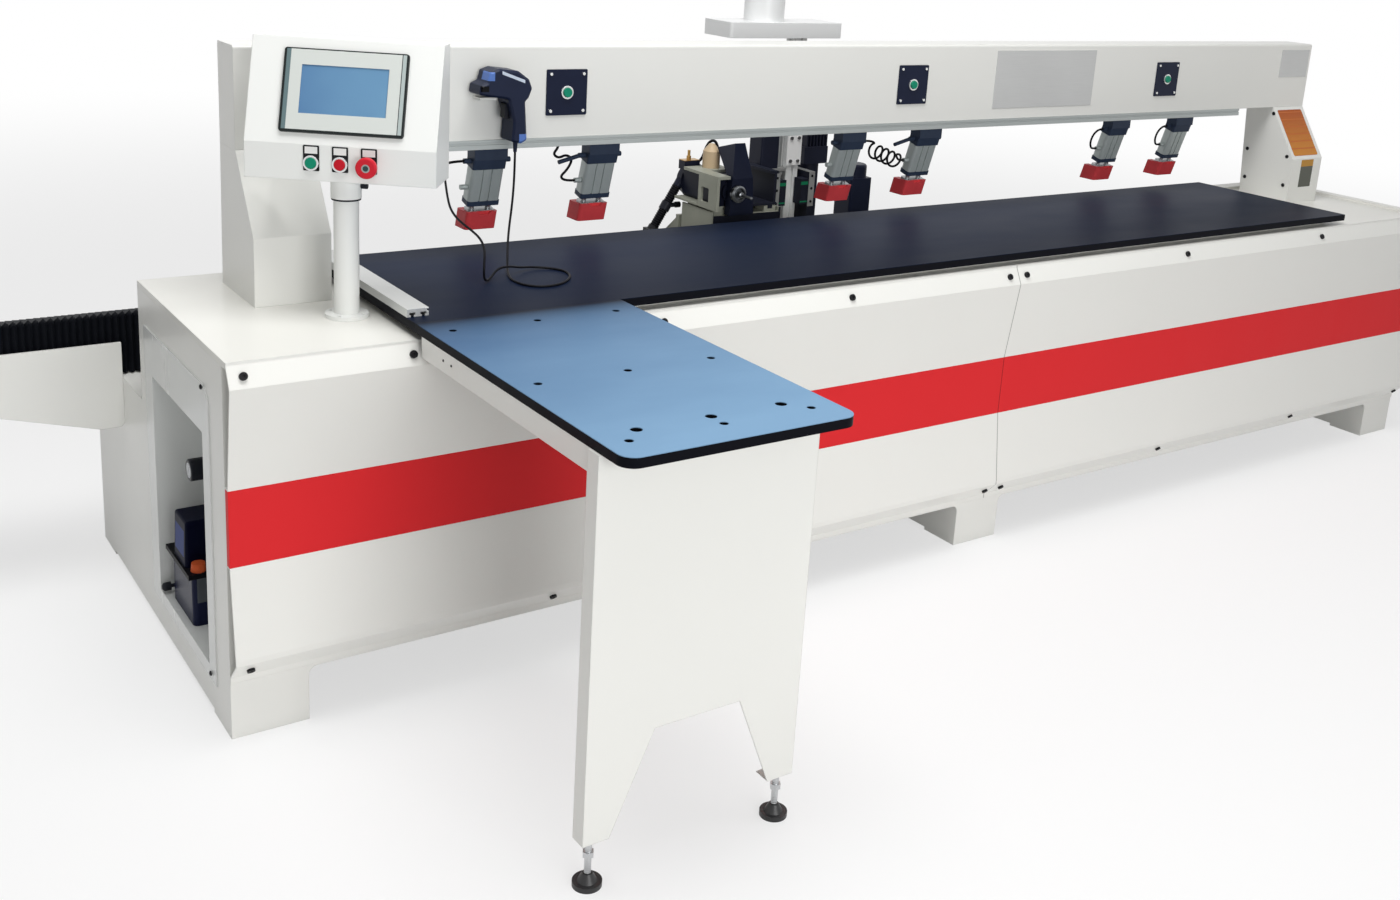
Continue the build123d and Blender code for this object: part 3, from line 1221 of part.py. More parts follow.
# Gear rack beside the rear guide rail, as long as the pinion travels
MODULE = TOOTH_PITCH / pi
PINION_R = PINION_TEETH * MODULE / 2
ADDENDUM = 0.8 * MODULE
DEDENDUM = 1.05 * MODULE
FLANK = tan(radians(20))
RACK_LINE = PINION_Y + PINION_R
RACK_BACK = GUIDE_Y1 - BLOCK_W / 2 - 1
RACK_Z = (RAIL_Z, RAIL_Z + 26)
RACK_TEETH = 158
RACK_FIRST = 80
with BuildPart() as gear_rack:
    rack_x = PINION_X - RACK_FIRST * TOOTH_PITCH
    with BuildSketch(Plane(origin=at(rack_x, RACK_LINE, RACK_Z[0]))):
        with Locations((RACK_TEETH * TOOTH_PITCH / 2, (RACK_BACK - RACK_LINE + DEDENDUM) / 2)):
            Rectangle((RACK_TEETH + 1) * TOOTH_PITCH, RACK_BACK - RACK_LINE - DEDENDUM)
        with BuildLine(mode=Mode.PRIVATE) as tooth:
            half = TOOTH_PITCH / 4 - BACKLASH / 4
            Polyline(
                (-half - DEDENDUM * FLANK, DEDENDUM), (-half + ADDENDUM * FLANK, -ADDENDUM),
                (half - ADDENDUM * FLANK, -ADDENDUM), (half + DEDENDUM * FLANK, DEDENDUM), close=True,
            )
        tooth_face = make_face(tooth.edges(), mode=Mode.PRIVATE)
        with Locations(*[(i * TOOTH_PITCH + TOOTH_PITCH / 2, 0) for i in range(RACK_TEETH)]):
            add(tooth_face)
    extrude(amount=RACK_Z[1] - RACK_Z[0])
gear_rack.part.label = "gear_rack"
export_step(gear_rack.part, "parts/gear_rack.step")

# Pinion under the carriage motor, with involute flanks
BASE_R = PINION_R * cos(radians(20))
TIP_R = PINION_R + ADDENDUM
ROOT_R = PINION_R - DEDENDUM
SHAFT_R = 9.0
SADDLE_Z0 = RAIL_Z + GUIDE_H + 20
SADDLE_Z = SADDLE_Z0 + SADDLE_T


def involute_angle(radius):
    """Polar angle that an involute flank has turned through at a radius."""
    if radius <= BASE_R:
        return 0.0
    slope = ((radius / BASE_R) ** 2 - 1) ** 0.5
    return slope - atan(slope)


HALF_TOOTH = pi / (2 * PINION_TEETH) - BACKLASH / 4 / PINION_R + involute_angle(PINION_R)
FLANK_RADII = [BASE_R + (TIP_R - BASE_R) * i / 4 for i in range(5)]
with BuildPart() as pinion:
    with BuildSketch(Plane(origin=at(PINION_X, PINION_Y, RACK_Z[0] + 2))):
        Circle(ROOT_R)
        with BuildLine(mode=Mode.PRIVATE) as cog:
            flank = [(r * cos(HALF_TOOTH - involute_angle(r)), r * sin(HALF_TOOTH - involute_angle(r)))
                     for r in FLANK_RADII]
            foot = 0.9 * ROOT_R
            Polyline(
                (foot * cos(HALF_TOOTH), -foot * sin(HALF_TOOTH)), *[(x, -y) for x, y in flank],
                *reversed(flank), (foot * cos(HALF_TOOTH), foot * sin(HALF_TOOTH)), close=True,
            )
        cog_face = make_face(cog.edges(), mode=Mode.PRIVATE)
        with PolarLocations(0, PINION_TEETH, start_angle=90):
            add(cog_face)
    extrude(amount=RACK_Z[1] - RACK_Z[0] - 2)
    with BuildSketch(Plane(origin=at(PINION_X, PINION_Y, RACK_Z[1]))):
        Circle(SHAFT_R)
    extrude(amount=SADDLE_Z - RACK_Z[1] + 10)
pinion.part.label = "pinion"
export_step(pinion.part, "parts/pinion.step")


# Bellows: folded way covers over the rails, between the end plates and the carriage
def bellows(x0, x1):
    """Pleated cover of three sides, with ridges and valleys in turn."""
    folds = 2 * round((x1 - x0) / BELLOWS_PITCH)
    with BuildPart() as cover:
        for i in range(folds + 1):
            deep = BELLOWS_DEEP * (i % 2)
            left = BELLOWS_Y0 + deep
            right = BELLOWS_Y1 - deep
            front = BELLOWS_Z1 - deep
            rear = BELLOWS_ZB - deep
            with BuildSketch(profile_plane(x0 + (x1 - x0) * i / folds)):
                with BuildLine():
                    Polyline(
                        (left, BELLOWS_Z0), (left, front), (right, rear), (right, BELLOWS_Z0),
                        (right - BELLOWS_SKIN, BELLOWS_Z0), (right - BELLOWS_SKIN, rear - BELLOWS_SKIN),
                        (left + BELLOWS_SKIN, front - BELLOWS_SKIN), (left + BELLOWS_SKIN, BELLOWS_Z0),
                        close=True,
                    )
                make_face()
        loft(ruled=True)
    return cover


bellows_left = bellows(END_PLATE - RAIL_OUT, SADDLE_X0)
bellows_left.part.label = "bellows_left"
export_step(bellows_left.part, "parts/bellows_left.step")

bellows_right = bellows(SADDLE_X1, BASE_LEN - END_PLATE)
bellows_right.part.label = "bellows_right"
export_step(bellows_right.part, "parts/bellows_right.step")

# Carriage saddle: a thick plate with frames for the bellows and a post for the cable hose
HOSE_DIR = (-0.53, -0.848)
REAR_CAP_R = MOTOR_SQ / 2 + 6
HEAD_HOSE_Y = MOTOR_Y0 + MOTOR_LEN + 13
HEAD_HOSE_LEN = 128.0
HEAD_HOSE_R = 13.0
HOSE_TOP = (DRILL_X - 0.75 * REAR_CAP_R + HOSE_DIR[0] * 30, DRILL_Z + 8 + HOSE_DIR[1] * 30)
HOSE_FOOT = (HOSE_TOP[0] + HOSE_DIR[0] * HEAD_HOSE_LEN, HOSE_TOP[1] + HOSE_DIR[1] * HEAD_HOSE_LEN)


def hose_plane(centre):
    """Plane square to the cable hose at a point of its course, facing down its length."""
    return Plane(
        origin=at(centre[0], HEAD_HOSE_Y, centre[1]), x_dir=(0, 1, 0), z_dir=(HOSE_DIR[0], 0, HOSE_DIR[1])
    )


with BuildPart() as x_saddle:
    block((SADDLE_X0, SADDLE_X1), (SADDLE_Y0, SADDLE_Y1), (SADDLE_Z0, SADDLE_Z))
    for x in (SADDLE_X0, SADDLE_X1 - END_PLATE):
        with BuildSketch(profile_plane(x)):
            with BuildLine():
                Polyline(
                    (BELLOWS_Y0, BELLOWS_Z0), (BELLOWS_Y0, BELLOWS_Z1), (BELLOWS_Y1, BELLOWS_ZB),
                    (BELLOWS_Y1, BELLOWS_Z0), close=True,
                )
            make_face()
        extrude(amount=END_PLATE)
        block(
            (x, x + END_PLATE),
            (RAIL_BEAM_Y0 - SLIDE_GAP, RAIL_BEAM_Y0 + RAIL_BEAM_DEEP + SLIDE_GAP),
            (BELLOWS_Z0, SADDLE_Z0),
            Mode.SUBTRACT,
        )
    with BuildSketch(Plane(origin=at(PINION_X, PINION_Y, SADDLE_Z0))):
        Circle(SHAFT_R + RUN_FIT)
    extrude(amount=SADDLE_T, mode=Mode.SUBTRACT)
    block(
        (HOSE_FOOT[0] - 26, HOSE_FOOT[0] - 2), (HEAD_HOSE_Y - 16, HEAD_HOSE_Y + 16),
        (SADDLE_Z, HOSE_FOOT[1] - 4),
    )
    with BuildSketch(hose_plane(HOSE_FOOT)):
        Circle(HEAD_HOSE_R + 2)
    extrude(amount=22)
x_saddle.part.label = "x_saddle"
export_step(x_saddle.part, "parts/x_saddle.step")

# Bearing blocks: four channel-shaped runners on the guide rails
BLOCK_XS = (SADDLE_X0 + 160, SADDLE_X1 - 180)
with BuildPart() as bearing_blocks:
    for x in BLOCK_XS:
        for y in (GUIDE_Y0, GUIDE_Y1):
            with BuildSketch(profile_plane(x - BLOCK_LEN / 2)):
                with Locations((y, SADDLE_Z0 - BLOCK_H / 2)):
                    Rectangle(BLOCK_W, BLOCK_H)
                with Locations((y, RAIL_Z + (GUIDE_H + SLIDE_GAP) / 2)):
                    Rectangle(GUIDE_W + 2 * SLIDE_GAP, GUIDE_H + SLIDE_GAP, mode=Mode.SUBTRACT)
            extrude(amount=BLOCK_LEN)
bearing_blocks.part.label = "bearing_blocks"
export_step(bearing_blocks.part, "parts/bearing_blocks.step")

# Carriage motor: an upright servo with its gearbox over the pinion
SERVO_SQ = 80.0
SERVO_SHOULDER = 798.0
SERVO_TOP = 838.0
with BuildPart() as x_motor:
    servo_foot = Plane(origin=at(PINION_X, PINION_Y, SADDLE_Z))
    with BuildSketch(servo_foot):
        RectangleRounded(SERVO_SQ + 8, SERVO_SQ + 8, 6)
    extrude(amount=14)
    with BuildSketch(servo_foot.offset(14)):
        Circle(SERVO_SQ / 2 - 2)
    extrude(amount=56)
    with BuildSketch(servo_foot.offset(70)):
        RectangleRounded(SERVO_SQ, SERVO_SQ, 8)
    extrude(amount=SERVO_SHOULDER - SADDLE_Z - 70)
    with BuildSketch(servo_foot.offset(SERVO_SHOULDER - SADDLE_Z)):
        Circle(SERVO_SQ / 2 - 3)
    extrude(amount=SERVO_TOP - SERVO_SHOULDER)
    fillet(x_motor.faces().sort_by(Axis.Z)[-1].edges(), 8)
    with BuildSketch(servo_foot):
        Circle(SHAFT_R + SLIDE_GAP)
    extrude(amount=10 + SLIDE_GAP, mode=Mode.SUBTRACT)
x_motor.part.label = "x_motor"
export_step(x_motor.part, "parts/x_motor.step")

# Head column: a gusseted upright with two vertical guides, and the drive's frame beside it
LIFT_X0 = DRILL_X - 60
LIFT_X1 = DRILL_X + 170
LIFT_Y0 = MOTOR_Y0 - 10
LIFT_Y1 = SADDLE_Y0 + 36
COLUMN_PLATE_Y = LIFT_Y1 + 16
COLUMN_PLATE_T = 12.0
COLUMN_PLATE_Z = SADDLE_Z + 122
MODULE_X = (DRILL_X + 196, DRILL_X + 340)
MODULE_Y = (SADDLE_Y0 - 40, SADDLE_Y0 + 62)
MODULE_Z = SADDLE_Z + 240
MODULE_PLATE = 20.0
LIFT_GUIDES = (LIFT_X0 + 30, LIFT_X1 - 20)
LIFT_GUIDE_W = 20.0
with BuildPart() as head_column:
    block((LIFT_X0, LIFT_X1), (COLUMN_PLATE_Y, SADDLE_Y1 - 15), (SADDLE_Z, SADDLE_Z + 12))
    block((LIFT_X0, LIFT_X1), (COLUMN_PLATE_Y, COLUMN_PLATE_Y + COLUMN_PLATE_T), (SADDLE_Z, COLUMN_PLATE_Z))
    for x in (LIFT_X0, LIFT_X1 - 10):
        with BuildSketch(profile_plane(x)):
            with BuildLine():
                Polyline(
                    (COLUMN_PLATE_Y, SADDLE_Z), (COLUMN_PLATE_Y, COLUMN_PLATE_Z),
                    (SADDLE_Y1 - 15, SADDLE_Z + 12), (SADDLE_Y1 - 15, SADDLE_Z), close=True,
                )
            make_face()
        extrude(amount=10)
    for x in LIFT_GUIDES:
        block(
            (x - LIFT_GUIDE_W / 2, x + LIFT_GUIDE_W / 2), (COLUMN_PLATE_Y - 12, COLUMN_PLATE_Y),
            (SADDLE_Z + 20, COLUMN_PLATE_Z),
        )
    for x0 in (MODULE_X[0], MODULE_X[1] - MODULE_PLATE):
        block((x0, x0 + MODULE_PLATE), MODULE_Y, (SADDLE_Z, MODULE_Z))
    block(MODULE_X, (MODULE_Y[1] - 16, MODULE_Y[1]), (MODULE_Z - 100, MODULE_Z))
    block((MODULE_X[0] - 24, MODULE_X[0] + 66), (MODULE_Y[1] - 66, MODULE_Y[1]), (MODULE_Z, MODULE_Z + 8))
    for x0 in (MODULE_X[0] + MODULE_PLATE, MODULE_X[1] - MODULE_PLATE - 25):
        block((x0, x0 + 25), (MODULE_Y[0] + 3, MODULE_Y[0] + 36), (MODULE_Z - 94, MODULE_Z - 20))
head_column.part.label = "head_column"
export_step(head_column.part, "parts/head_column.step")

# Lift slide: a sheet box that rises on the column and carries the feed slide's blocks
FEED_PLATE_T = 6.0
FEED_PLATE_Z = DRILL_Z - MOTOR_SQ / 2
FEED_RAIL_W = 16.0
FEED_RAIL_H = 10.0
FEED_RAIL_Z = FEED_PLATE_Z - FEED_PLATE_T - FEED_RAIL_H
LIFT_DECK_Z = FEED_RAIL_Z - 8
LIFT_RIM_Z = LIFT_DECK_Z + 12
LIFT_Z0 = SADDLE_Z + 37
LIFT_WALL = 5.0
FEED_RAILS = (LIFT_X0 + 30, LIFT_X1 - 30)
with BuildPart() as z_slide:
    block((LIFT_X0, LIFT_X1), (LIFT_Y0, LIFT_Y1), (LIFT_Z0, LIFT_RIM_Z))
    block(
        (LIFT_X0 + LIFT_WALL, LIFT_X1 - LIFT_WALL), (LIFT_Y0 + LIFT_WALL, LIFT_Y1 - LIFT_WALL),
        (LIFT_Z0, LIFT_DECK_Z - LIFT_WALL), Mode.SUBTRACT,
    )
    block(
        (LIFT_X0 + LIFT_WALL, LIFT_X1 - LIFT_WALL), (LIFT_Y0, LIFT_Y1),
        (LIFT_DECK_Z, LIFT_RIM_Z), Mode.SUBTRACT,
    )
    for x in LIFT_GUIDES:
        block((x - 20, x + 20), (LIFT_Y1, COLUMN_PLATE_Y - 2), (LIFT_Z0 + 10, LIFT_Z0 + 80))
        block(
            (x - LIFT_GUIDE_W / 2 - SLIDE_GAP, x + LIFT_GUIDE_W / 2 + SLIDE_GAP),
            (COLUMN_PLATE_Y - 12 - SLIDE_GAP, COLUMN_PLATE_Y), (LIFT_Z0, LIFT_Z0 + 90), Mode.SUBTRACT,
        )
    for x in FEED_RAILS:
        for y in (LIFT_Y0 + 10, LIFT_Y1 - 51):
            block((x - 20, x + 20), (y, y + 40), (LIFT_DECK_Z, FEED_RAIL_Z + 8))
        block(
            (x - FEED_RAIL_W / 2 - SLIDE_GAP, x + FEED_RAIL_W / 2 + SLIDE_GAP), (LIFT_Y0, LIFT_Y1),
            (FEED_RAIL_Z - SLIDE_GAP, FEED_RAIL_Z + 8), Mode.SUBTRACT,
        )
z_slide.part.label = "z_slide"
export_step(z_slide.part, "parts/z_slide.step")

# Feed slide: a folded cradle for the drill motor on two rails, with the air filter's bowl on top
CRADLE_X0 = LIFT_X0 - 5
CRADLE_Z = DRILL_Z + MOTOR_SQ / 2
CRADLE_T = 8.0
CRADLE_Y0 = MOTOR_Y0 - 35
with BuildPart() as y_slide:
    block((CRADLE_X0, LIFT_X1 - 8), (MOTOR_Y0, MOTOR_Y0 + MOTOR_LEN), (FEED_PLATE_Z - FEED_PLATE_T, FEED_PLATE_Z))
    for x in FEED_RAILS:
        block(
            (x - FEED_RAIL_W / 2, x + FEED_RAIL_W / 2), (MOTOR_Y0, MOTOR_Y0 + MOTOR_LEN),
            (FEED_RAIL_Z, FEED_PLATE_Z - FEED_PLATE_T),
        )
    with BuildSketch(profile_plane(CRADLE_X0)):
        with BuildLine():
            Polyline(
                (MOTOR_Y0 + 55, FEED_PLATE_Z - FEED_PLATE_T), (CRADLE_Y0, FEED_PLATE_Z - FEED_PLATE_T),
                (CRADLE_Y0, CRADLE_Z + CRADLE_T), (MOTOR_Y0 + 55, CRADLE_Z + CRADLE_T), close=True,
            )
        make_face()
        with Locations((MOTOR_Y0 + 24, DRILL_Z - 10)):
            RectangleRounded(37, 40, 4, mode=Mode.SUBTRACT)
    extrude(amount=CRADLE_T)
    block((CRADLE_X0, DRILL_X - 24), (CRADLE_Y0, MOTOR_Y0 + 60), (CRADLE_Z, CRADLE_Z + CRADLE_T))
    block((CRADLE_X0, DRILL_X + 50), (MOTOR_Y0 + 60, MOTOR_Y0 + 130), (CRADLE_Z, CRADLE_Z + CRADLE_T))
    block((LIFT_X1 - 20, LIFT_X1 - 12), (MOTOR_Y0, MOTOR_Y0 + 130), (FEED_PLATE_Z, CRADLE_Z))
    block((LIFT_X1 - 32, LIFT_X1 - 8), (MOTOR_Y0, MOTOR_Y0 + 130), (CRADLE_Z, CRADLE_Z + CRADLE_T))
    with BuildSketch(Plane(origin=at(DRILL_X + 2, MOTOR_Y0 + 98, CRADLE_Z + CRADLE_T))):
        Circle(24)
    extrude(amount=46)
    with BuildSketch(Plane(origin=at(DRILL_X + 2, MOTOR_Y0 + 98, CRADLE_Z + CRADLE_T + 46))):
        Circle(24)
    extrude(amount=20, taper=40)
y_slide.part.label = "y_slide"
export_step(y_slide.part, "parts/y_slide.step")

# Drill motor: a square body along y with a front collar, a round rear cap and an air connector
SPINDLE_SEAT = 80.0
COLLAR_T = 8.0
motor_front = front_plane(DRILL_X, MOTOR_Y0, DRILL_Z)
with BuildPart() as drill_motor:
    with BuildSketch(motor_front):
        RectangleRounded(MOTOR_SQ, MOTOR_SQ, 9)
    extrude(amount=-MOTOR_LEN)
    with BuildSketch(motor_front):
        Circle(28)
    extrude(amount=COLLAR_T)
    with BuildSketch(motor_front.offset(-MOTOR_LEN)):
        Circle(REAR_CAP_R)
    extrude(amount=-26)
    fillet(drill_motor.faces().sort_by(Axis.Y)[-1].edges(), 5)
    with BuildSketch(hose_plane(HOSE_TOP)):
        Circle(HEAD_HOSE_R - 1)
    extrude(amount=-22)
    block((DRILL_X - 56, DRILL_X - 6), (MOTOR_Y0 + MOTOR_LEN - 30, MOTOR_Y0 + MOTOR_LEN), (CRADLE_Z - 4, CRADLE_Z + 22))
    with BuildSketch(Plane(origin=at(DRILL_X - 34, MOTOR_Y0 + MOTOR_LEN - 15, CRADLE_Z + 22))):
        RegularPolygon(7, 6)
    extrude(amount=10)
    with BuildSketch(Plane(origin=at(DRILL_X - 34, MOTOR_Y0 + MOTOR_LEN - 15, CRADLE_Z + 32))):
        Circle(4)
    extrude(amount=16)
    with BuildSketch(motor_front.offset(COLLAR_T)):
        Circle(SPINDLE_R + RUN_FIT)
    extrude(amount=-COLLAR_T - SPINDLE_SEAT, mode=Mode.SUBTRACT)
drill_motor.part.label = "drill_motor"
export_step(drill_motor.part, "parts/drill_motor.step")

# Drill spindle: shaft, nose ring, collet nut and bit in one turned piece
NOSE_BACK = 35.0
with BuildPart() as drill_spindle:
    with BuildSketch(Plane(origin=at(DRILL_X, MOTOR_Y0, DRILL_Z), x_dir=(1, 0, 0), z_dir=(0, 0, 1))):
        with BuildLine():
            Polyline(
                (0, SPINDLE_SEAT - PRESS_GAP), (SPINDLE_R, SPINDLE_SEAT - PRESS_GAP),
                (SPINDLE_R, -NOSE_BACK), (NOSE_R, -NOSE_BACK), (NOSE_R, -NOSE_BACK - 10),
                (NOSE_R - 4, -NOSE_BACK - 14), (NOSE_R - 7, -NOSE_BACK - 14), (NOSE_R - 9, -NOSE_BACK - 6),
                (BIT_R + 5, -NOSE_BACK - 6), (BIT_R + 4, -NOSE_BACK - 22), (BIT_R, -NOSE_BACK - 24),
                (BIT_R, -NOSE_BACK - 66), (0, -NOSE_BACK - 69), close=True,
            )
        make_face()
    revolve(axis=Axis(at(DRILL_X, MOTOR_Y0, DRILL_Z), (0, 1, 0)))
drill_spindle.part.label = "drill_spindle"
export_step(drill_spindle.part, "parts/drill_spindle.step")

# Dust chute: a tapered duct from behind the nose, leaning back and up
CHUTE_WALL = 2.5
CHUTE_Y = (MOTOR_Y0 - 32, MOTOR_Y0 - COLLAR_T)
CHUTE_TILT = (0, 0.272, 0.962)
CHUTE = (
    (LIFT_RIM_Z - 8, DRILL_X - 20, DRILL_X + 60, sum(CHUTE_Y) / 2, CHUTE_Y[1] - CHUTE_Y[0], (0, 0, 1)),
    (CRADLE_Z, DRILL_X - 15, DRILL_X + 52, sum(CHUTE_Y) / 2, CHUTE_Y[1] - CHUTE_Y[0], (0, 0, 1)),
    (CRADLE_Z + 80, DRILL_X + 3, DRILL_X + 35, MOTOR_Y0 + 32, 86, CHUTE_TILT),
)
with BuildPart() as dust_chute:
    for z, x0, x1, y, deep, normal in CHUTE:
        with BuildSketch(Plane(origin=at((x0 + x1) / 2, y, z), x_dir=(1, 0, 0), z_dir=normal)):
            Rectangle(x1 - x0, deep)
    loft(ruled=True)
    for z, x0, x1, y, deep, normal in CHUTE:
        floor = CHUTE_WALL if z == CHUTE[0][0] else 0
        with BuildSketch(Plane(origin=at((x0 + x1) / 2, y, z + floor), x_dir=(1, 0, 0), z_dir=normal)):
            Rectangle(x1 - x0 - 2 * CHUTE_WALL, deep - 2 * CHUTE_WALL)
    loft(ruled=True, mode=Mode.SUBTRACT)
    with BuildSketch(front_plane(DRILL_X, MOTOR_Y0, DRILL_Z)):
        Circle(SPINDLE_R + 3)
    extrude(amount=40, mode=Mode.SUBTRACT)
dust_chute.part.label = "dust_chute"
export_step(dust_chute.part, "parts/dust_chute.step")

# Hood post: a slotted aluminium upright on the saddle with a bolted joint plate
POST_BAR_X = DRILL_X + 286
POST_BAR = 42.0
HOOD_Z0 = 1221.0
HOOD_H = 42.0
HOOD_WALL = 2.5
post_foot = Plane(origin=at(POST_BAR_X, SADDLE_Y0 + POST_BAR / 2, SADDLE_Z))
with BuildPart() as hood_post:
    with BuildSketch(post_foot):
        RectangleRounded(POST_BAR, POST_BAR, 2)
        with PolarLocations(POST_BAR / 2 - 3, 4):
            Rectangle(6, 8, mode=Mode.SUBTRACT)
    extrude(amount=HOOD_Z0 + HOOD_H - HOOD_WALL - SADDLE_Z)
    with BuildSketch(front_plane(POST_BAR_X, SADDLE_Y0, SADDLE_Z + 300)):
        Rectangle(POST_BAR + 8, 90)
    extrude(amount=5)
    with BuildSketch(front_plane(POST_BAR_X, SADDLE_Y0 - 5, SADDLE_Z + 300)):
        with GridLocations(26, 66, 2, 2):
            Circle(5)
    extrude(amount=4)
hood_post.part.label = "hood_post"
export_step(hood_post.part, "parts/hood_post.step")

# Dust hood: a flat sheet hood, open underneath, with a round hose collar on top
HOOD_X = (DRILL_X + 41, DRILL_X + 426)
HOOD_Y = (SADDLE_Y0 - 5, SADDLE_Y0 + 128)
SPIGOT_X = DRILL_X + 196
SPIGOT_R = 56.5
SPIGOT_LEN = 82.0
hood_top = Plane(origin=at(SPIGOT_X, (HOOD_Y[0] + HOOD_Y[1]) / 2, HOOD_Z0 + HOOD_H))
with BuildPart() as dust_hood:
    block(HOOD_X, HOOD_Y, (HOOD_Z0, HOOD_Z0 + HOOD_H))
    fillet(dust_hood.edges().filter_by(Axis.Z), 8)
    offset(amount=-HOOD_WALL, openings=dust_hood.faces().sort_by(Axis.Z)[0])
    with BuildSketch(hood_top):
        Circle(SPIGOT_R)
    extrude(amount=SPIGOT_LEN)
    with BuildSketch(hood_top.offset(-HOOD_WALL)):
        Circle(SPIGOT_R - HOOD_WALL)
    extrude(amount=SPIGOT_LEN + HOOD_WALL, mode=Mode.SUBTRACT)
dust_hood.part.label = "dust_hood"
export_step(dust_hood.part, "parts/dust_hood.step")

# Lift motor: an upright motor and its balance cylinder on the frame, and a finned motor by the post
LIFT_MOTOR_X = DRILL_X + 420
LIFT_MOTOR_Y = SADDLE_Y0 + 100
motor_foot = Plane(origin=at(LIFT_MOTOR_X, LIFT_MOTOR_Y, SADDLE_Z))
with BuildPart() as lift_motor:
    with BuildSketch(motor_foot):
        RectangleRounded(90, 90, 8)
    extrude(amount=70)
    with BuildSketch(motor_foot.offset(70)):
        Circle(34)
    extrude(amount=172)
    with BuildSketch(motor_foot.offset(242)):
        RectangleRounded(86, 86, 6)
    extrude(amount=50)
    with BuildSketch(motor_foot.offset(292)):
        with GridLocations(12, 0, 7, 1):
            Rectangle(4, 80)
    extrude(amount=40)
    frame_top = Plane(origin=at(DRILL_X + 203, MODULE_Y[1] - 34, MODULE_Z + 8))
    with BuildSketch(frame_top):
        RectangleRounded(62, 62, 5)
    extrude(amount=160)
    with BuildSketch(frame_top):
        with Locations((46, 0)):
            Circle(13)
    extrude(amount=150)
lift_motor.part.label = "lift_motor"
export_step(lift_motor.part, "parts/lift_motor.step")

# Cable hose: a ribbed conduit from the drill motor down to the saddle's post
RIBS = 18
RIB_DEEP = 1.6
RIB_PITCH = (HEAD_HOSE_LEN - 4 * HEAD_HOSE_R) / RIBS
RIB_FORM = ((0, -RIB_DEEP), (0.25, 0), (0.5, 0), (0.75, -RIB_DEEP))
hose_rings = [(0, -RIB_DEEP)]
hose_rings += [(2 * HEAD_HOSE_R + (i + share) * RIB_PITCH, rise) for i in range(RIBS) for share, rise in RIB_FORM]
hose_rings += [(HEAD_HOSE_LEN, -RIB_DEEP)]
with BuildPart() as head_hose:
    for down, rise in hose_rings:
        with BuildSketch(hose_plane((HOSE_TOP[0] + HOSE_DIR[0] * down, HOSE_TOP[1] + HOSE_DIR[1] * down))):
            Circle(HEAD_HOSE_R + rise)
    loft(ruled=True)
    with BuildSketch(hose_plane(HOSE_TOP)):
        Circle(HEAD_HOSE_R - 3 * RIB_DEEP)
    extrude(amount=HEAD_HOSE_LEN, mode=Mode.SUBTRACT)
head_hose.part.label = "head_hose"
export_step(head_hose.part, "parts/head_hose.step")
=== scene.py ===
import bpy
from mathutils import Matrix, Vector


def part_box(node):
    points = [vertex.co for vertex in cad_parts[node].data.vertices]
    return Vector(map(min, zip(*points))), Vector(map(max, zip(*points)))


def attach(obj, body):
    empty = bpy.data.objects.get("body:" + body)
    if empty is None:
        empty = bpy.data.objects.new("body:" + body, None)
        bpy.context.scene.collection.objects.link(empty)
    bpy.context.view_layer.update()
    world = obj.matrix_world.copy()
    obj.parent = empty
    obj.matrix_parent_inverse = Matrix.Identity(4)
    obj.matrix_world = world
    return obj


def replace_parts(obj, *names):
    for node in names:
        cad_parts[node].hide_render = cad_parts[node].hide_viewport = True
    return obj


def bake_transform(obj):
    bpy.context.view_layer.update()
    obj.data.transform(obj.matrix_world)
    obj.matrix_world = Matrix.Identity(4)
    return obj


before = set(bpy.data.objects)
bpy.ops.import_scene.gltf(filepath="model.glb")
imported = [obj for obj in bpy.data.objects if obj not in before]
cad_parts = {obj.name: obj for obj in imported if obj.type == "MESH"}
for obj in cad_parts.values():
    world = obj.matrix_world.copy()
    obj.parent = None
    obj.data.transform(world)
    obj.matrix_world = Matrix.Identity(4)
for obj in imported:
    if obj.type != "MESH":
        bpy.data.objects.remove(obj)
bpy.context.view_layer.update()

from math import cos, pi, radians, sin

import bmesh
import bpy
from mathutils import Matrix, Vector


# Base housing: folded sheet steel, welded on three box feet and open underneath.
# It is painted off-white in one semi-gloss coat, which leaves a faint orange peel.
# Machine places count from the bed's left front corner, this far left and front of zero.
BED_X, BED_Y = 1.708, 0.141
SEAM_HALF = 0.0011
OFF_WHITE = (0.80, 0.80, 0.765)


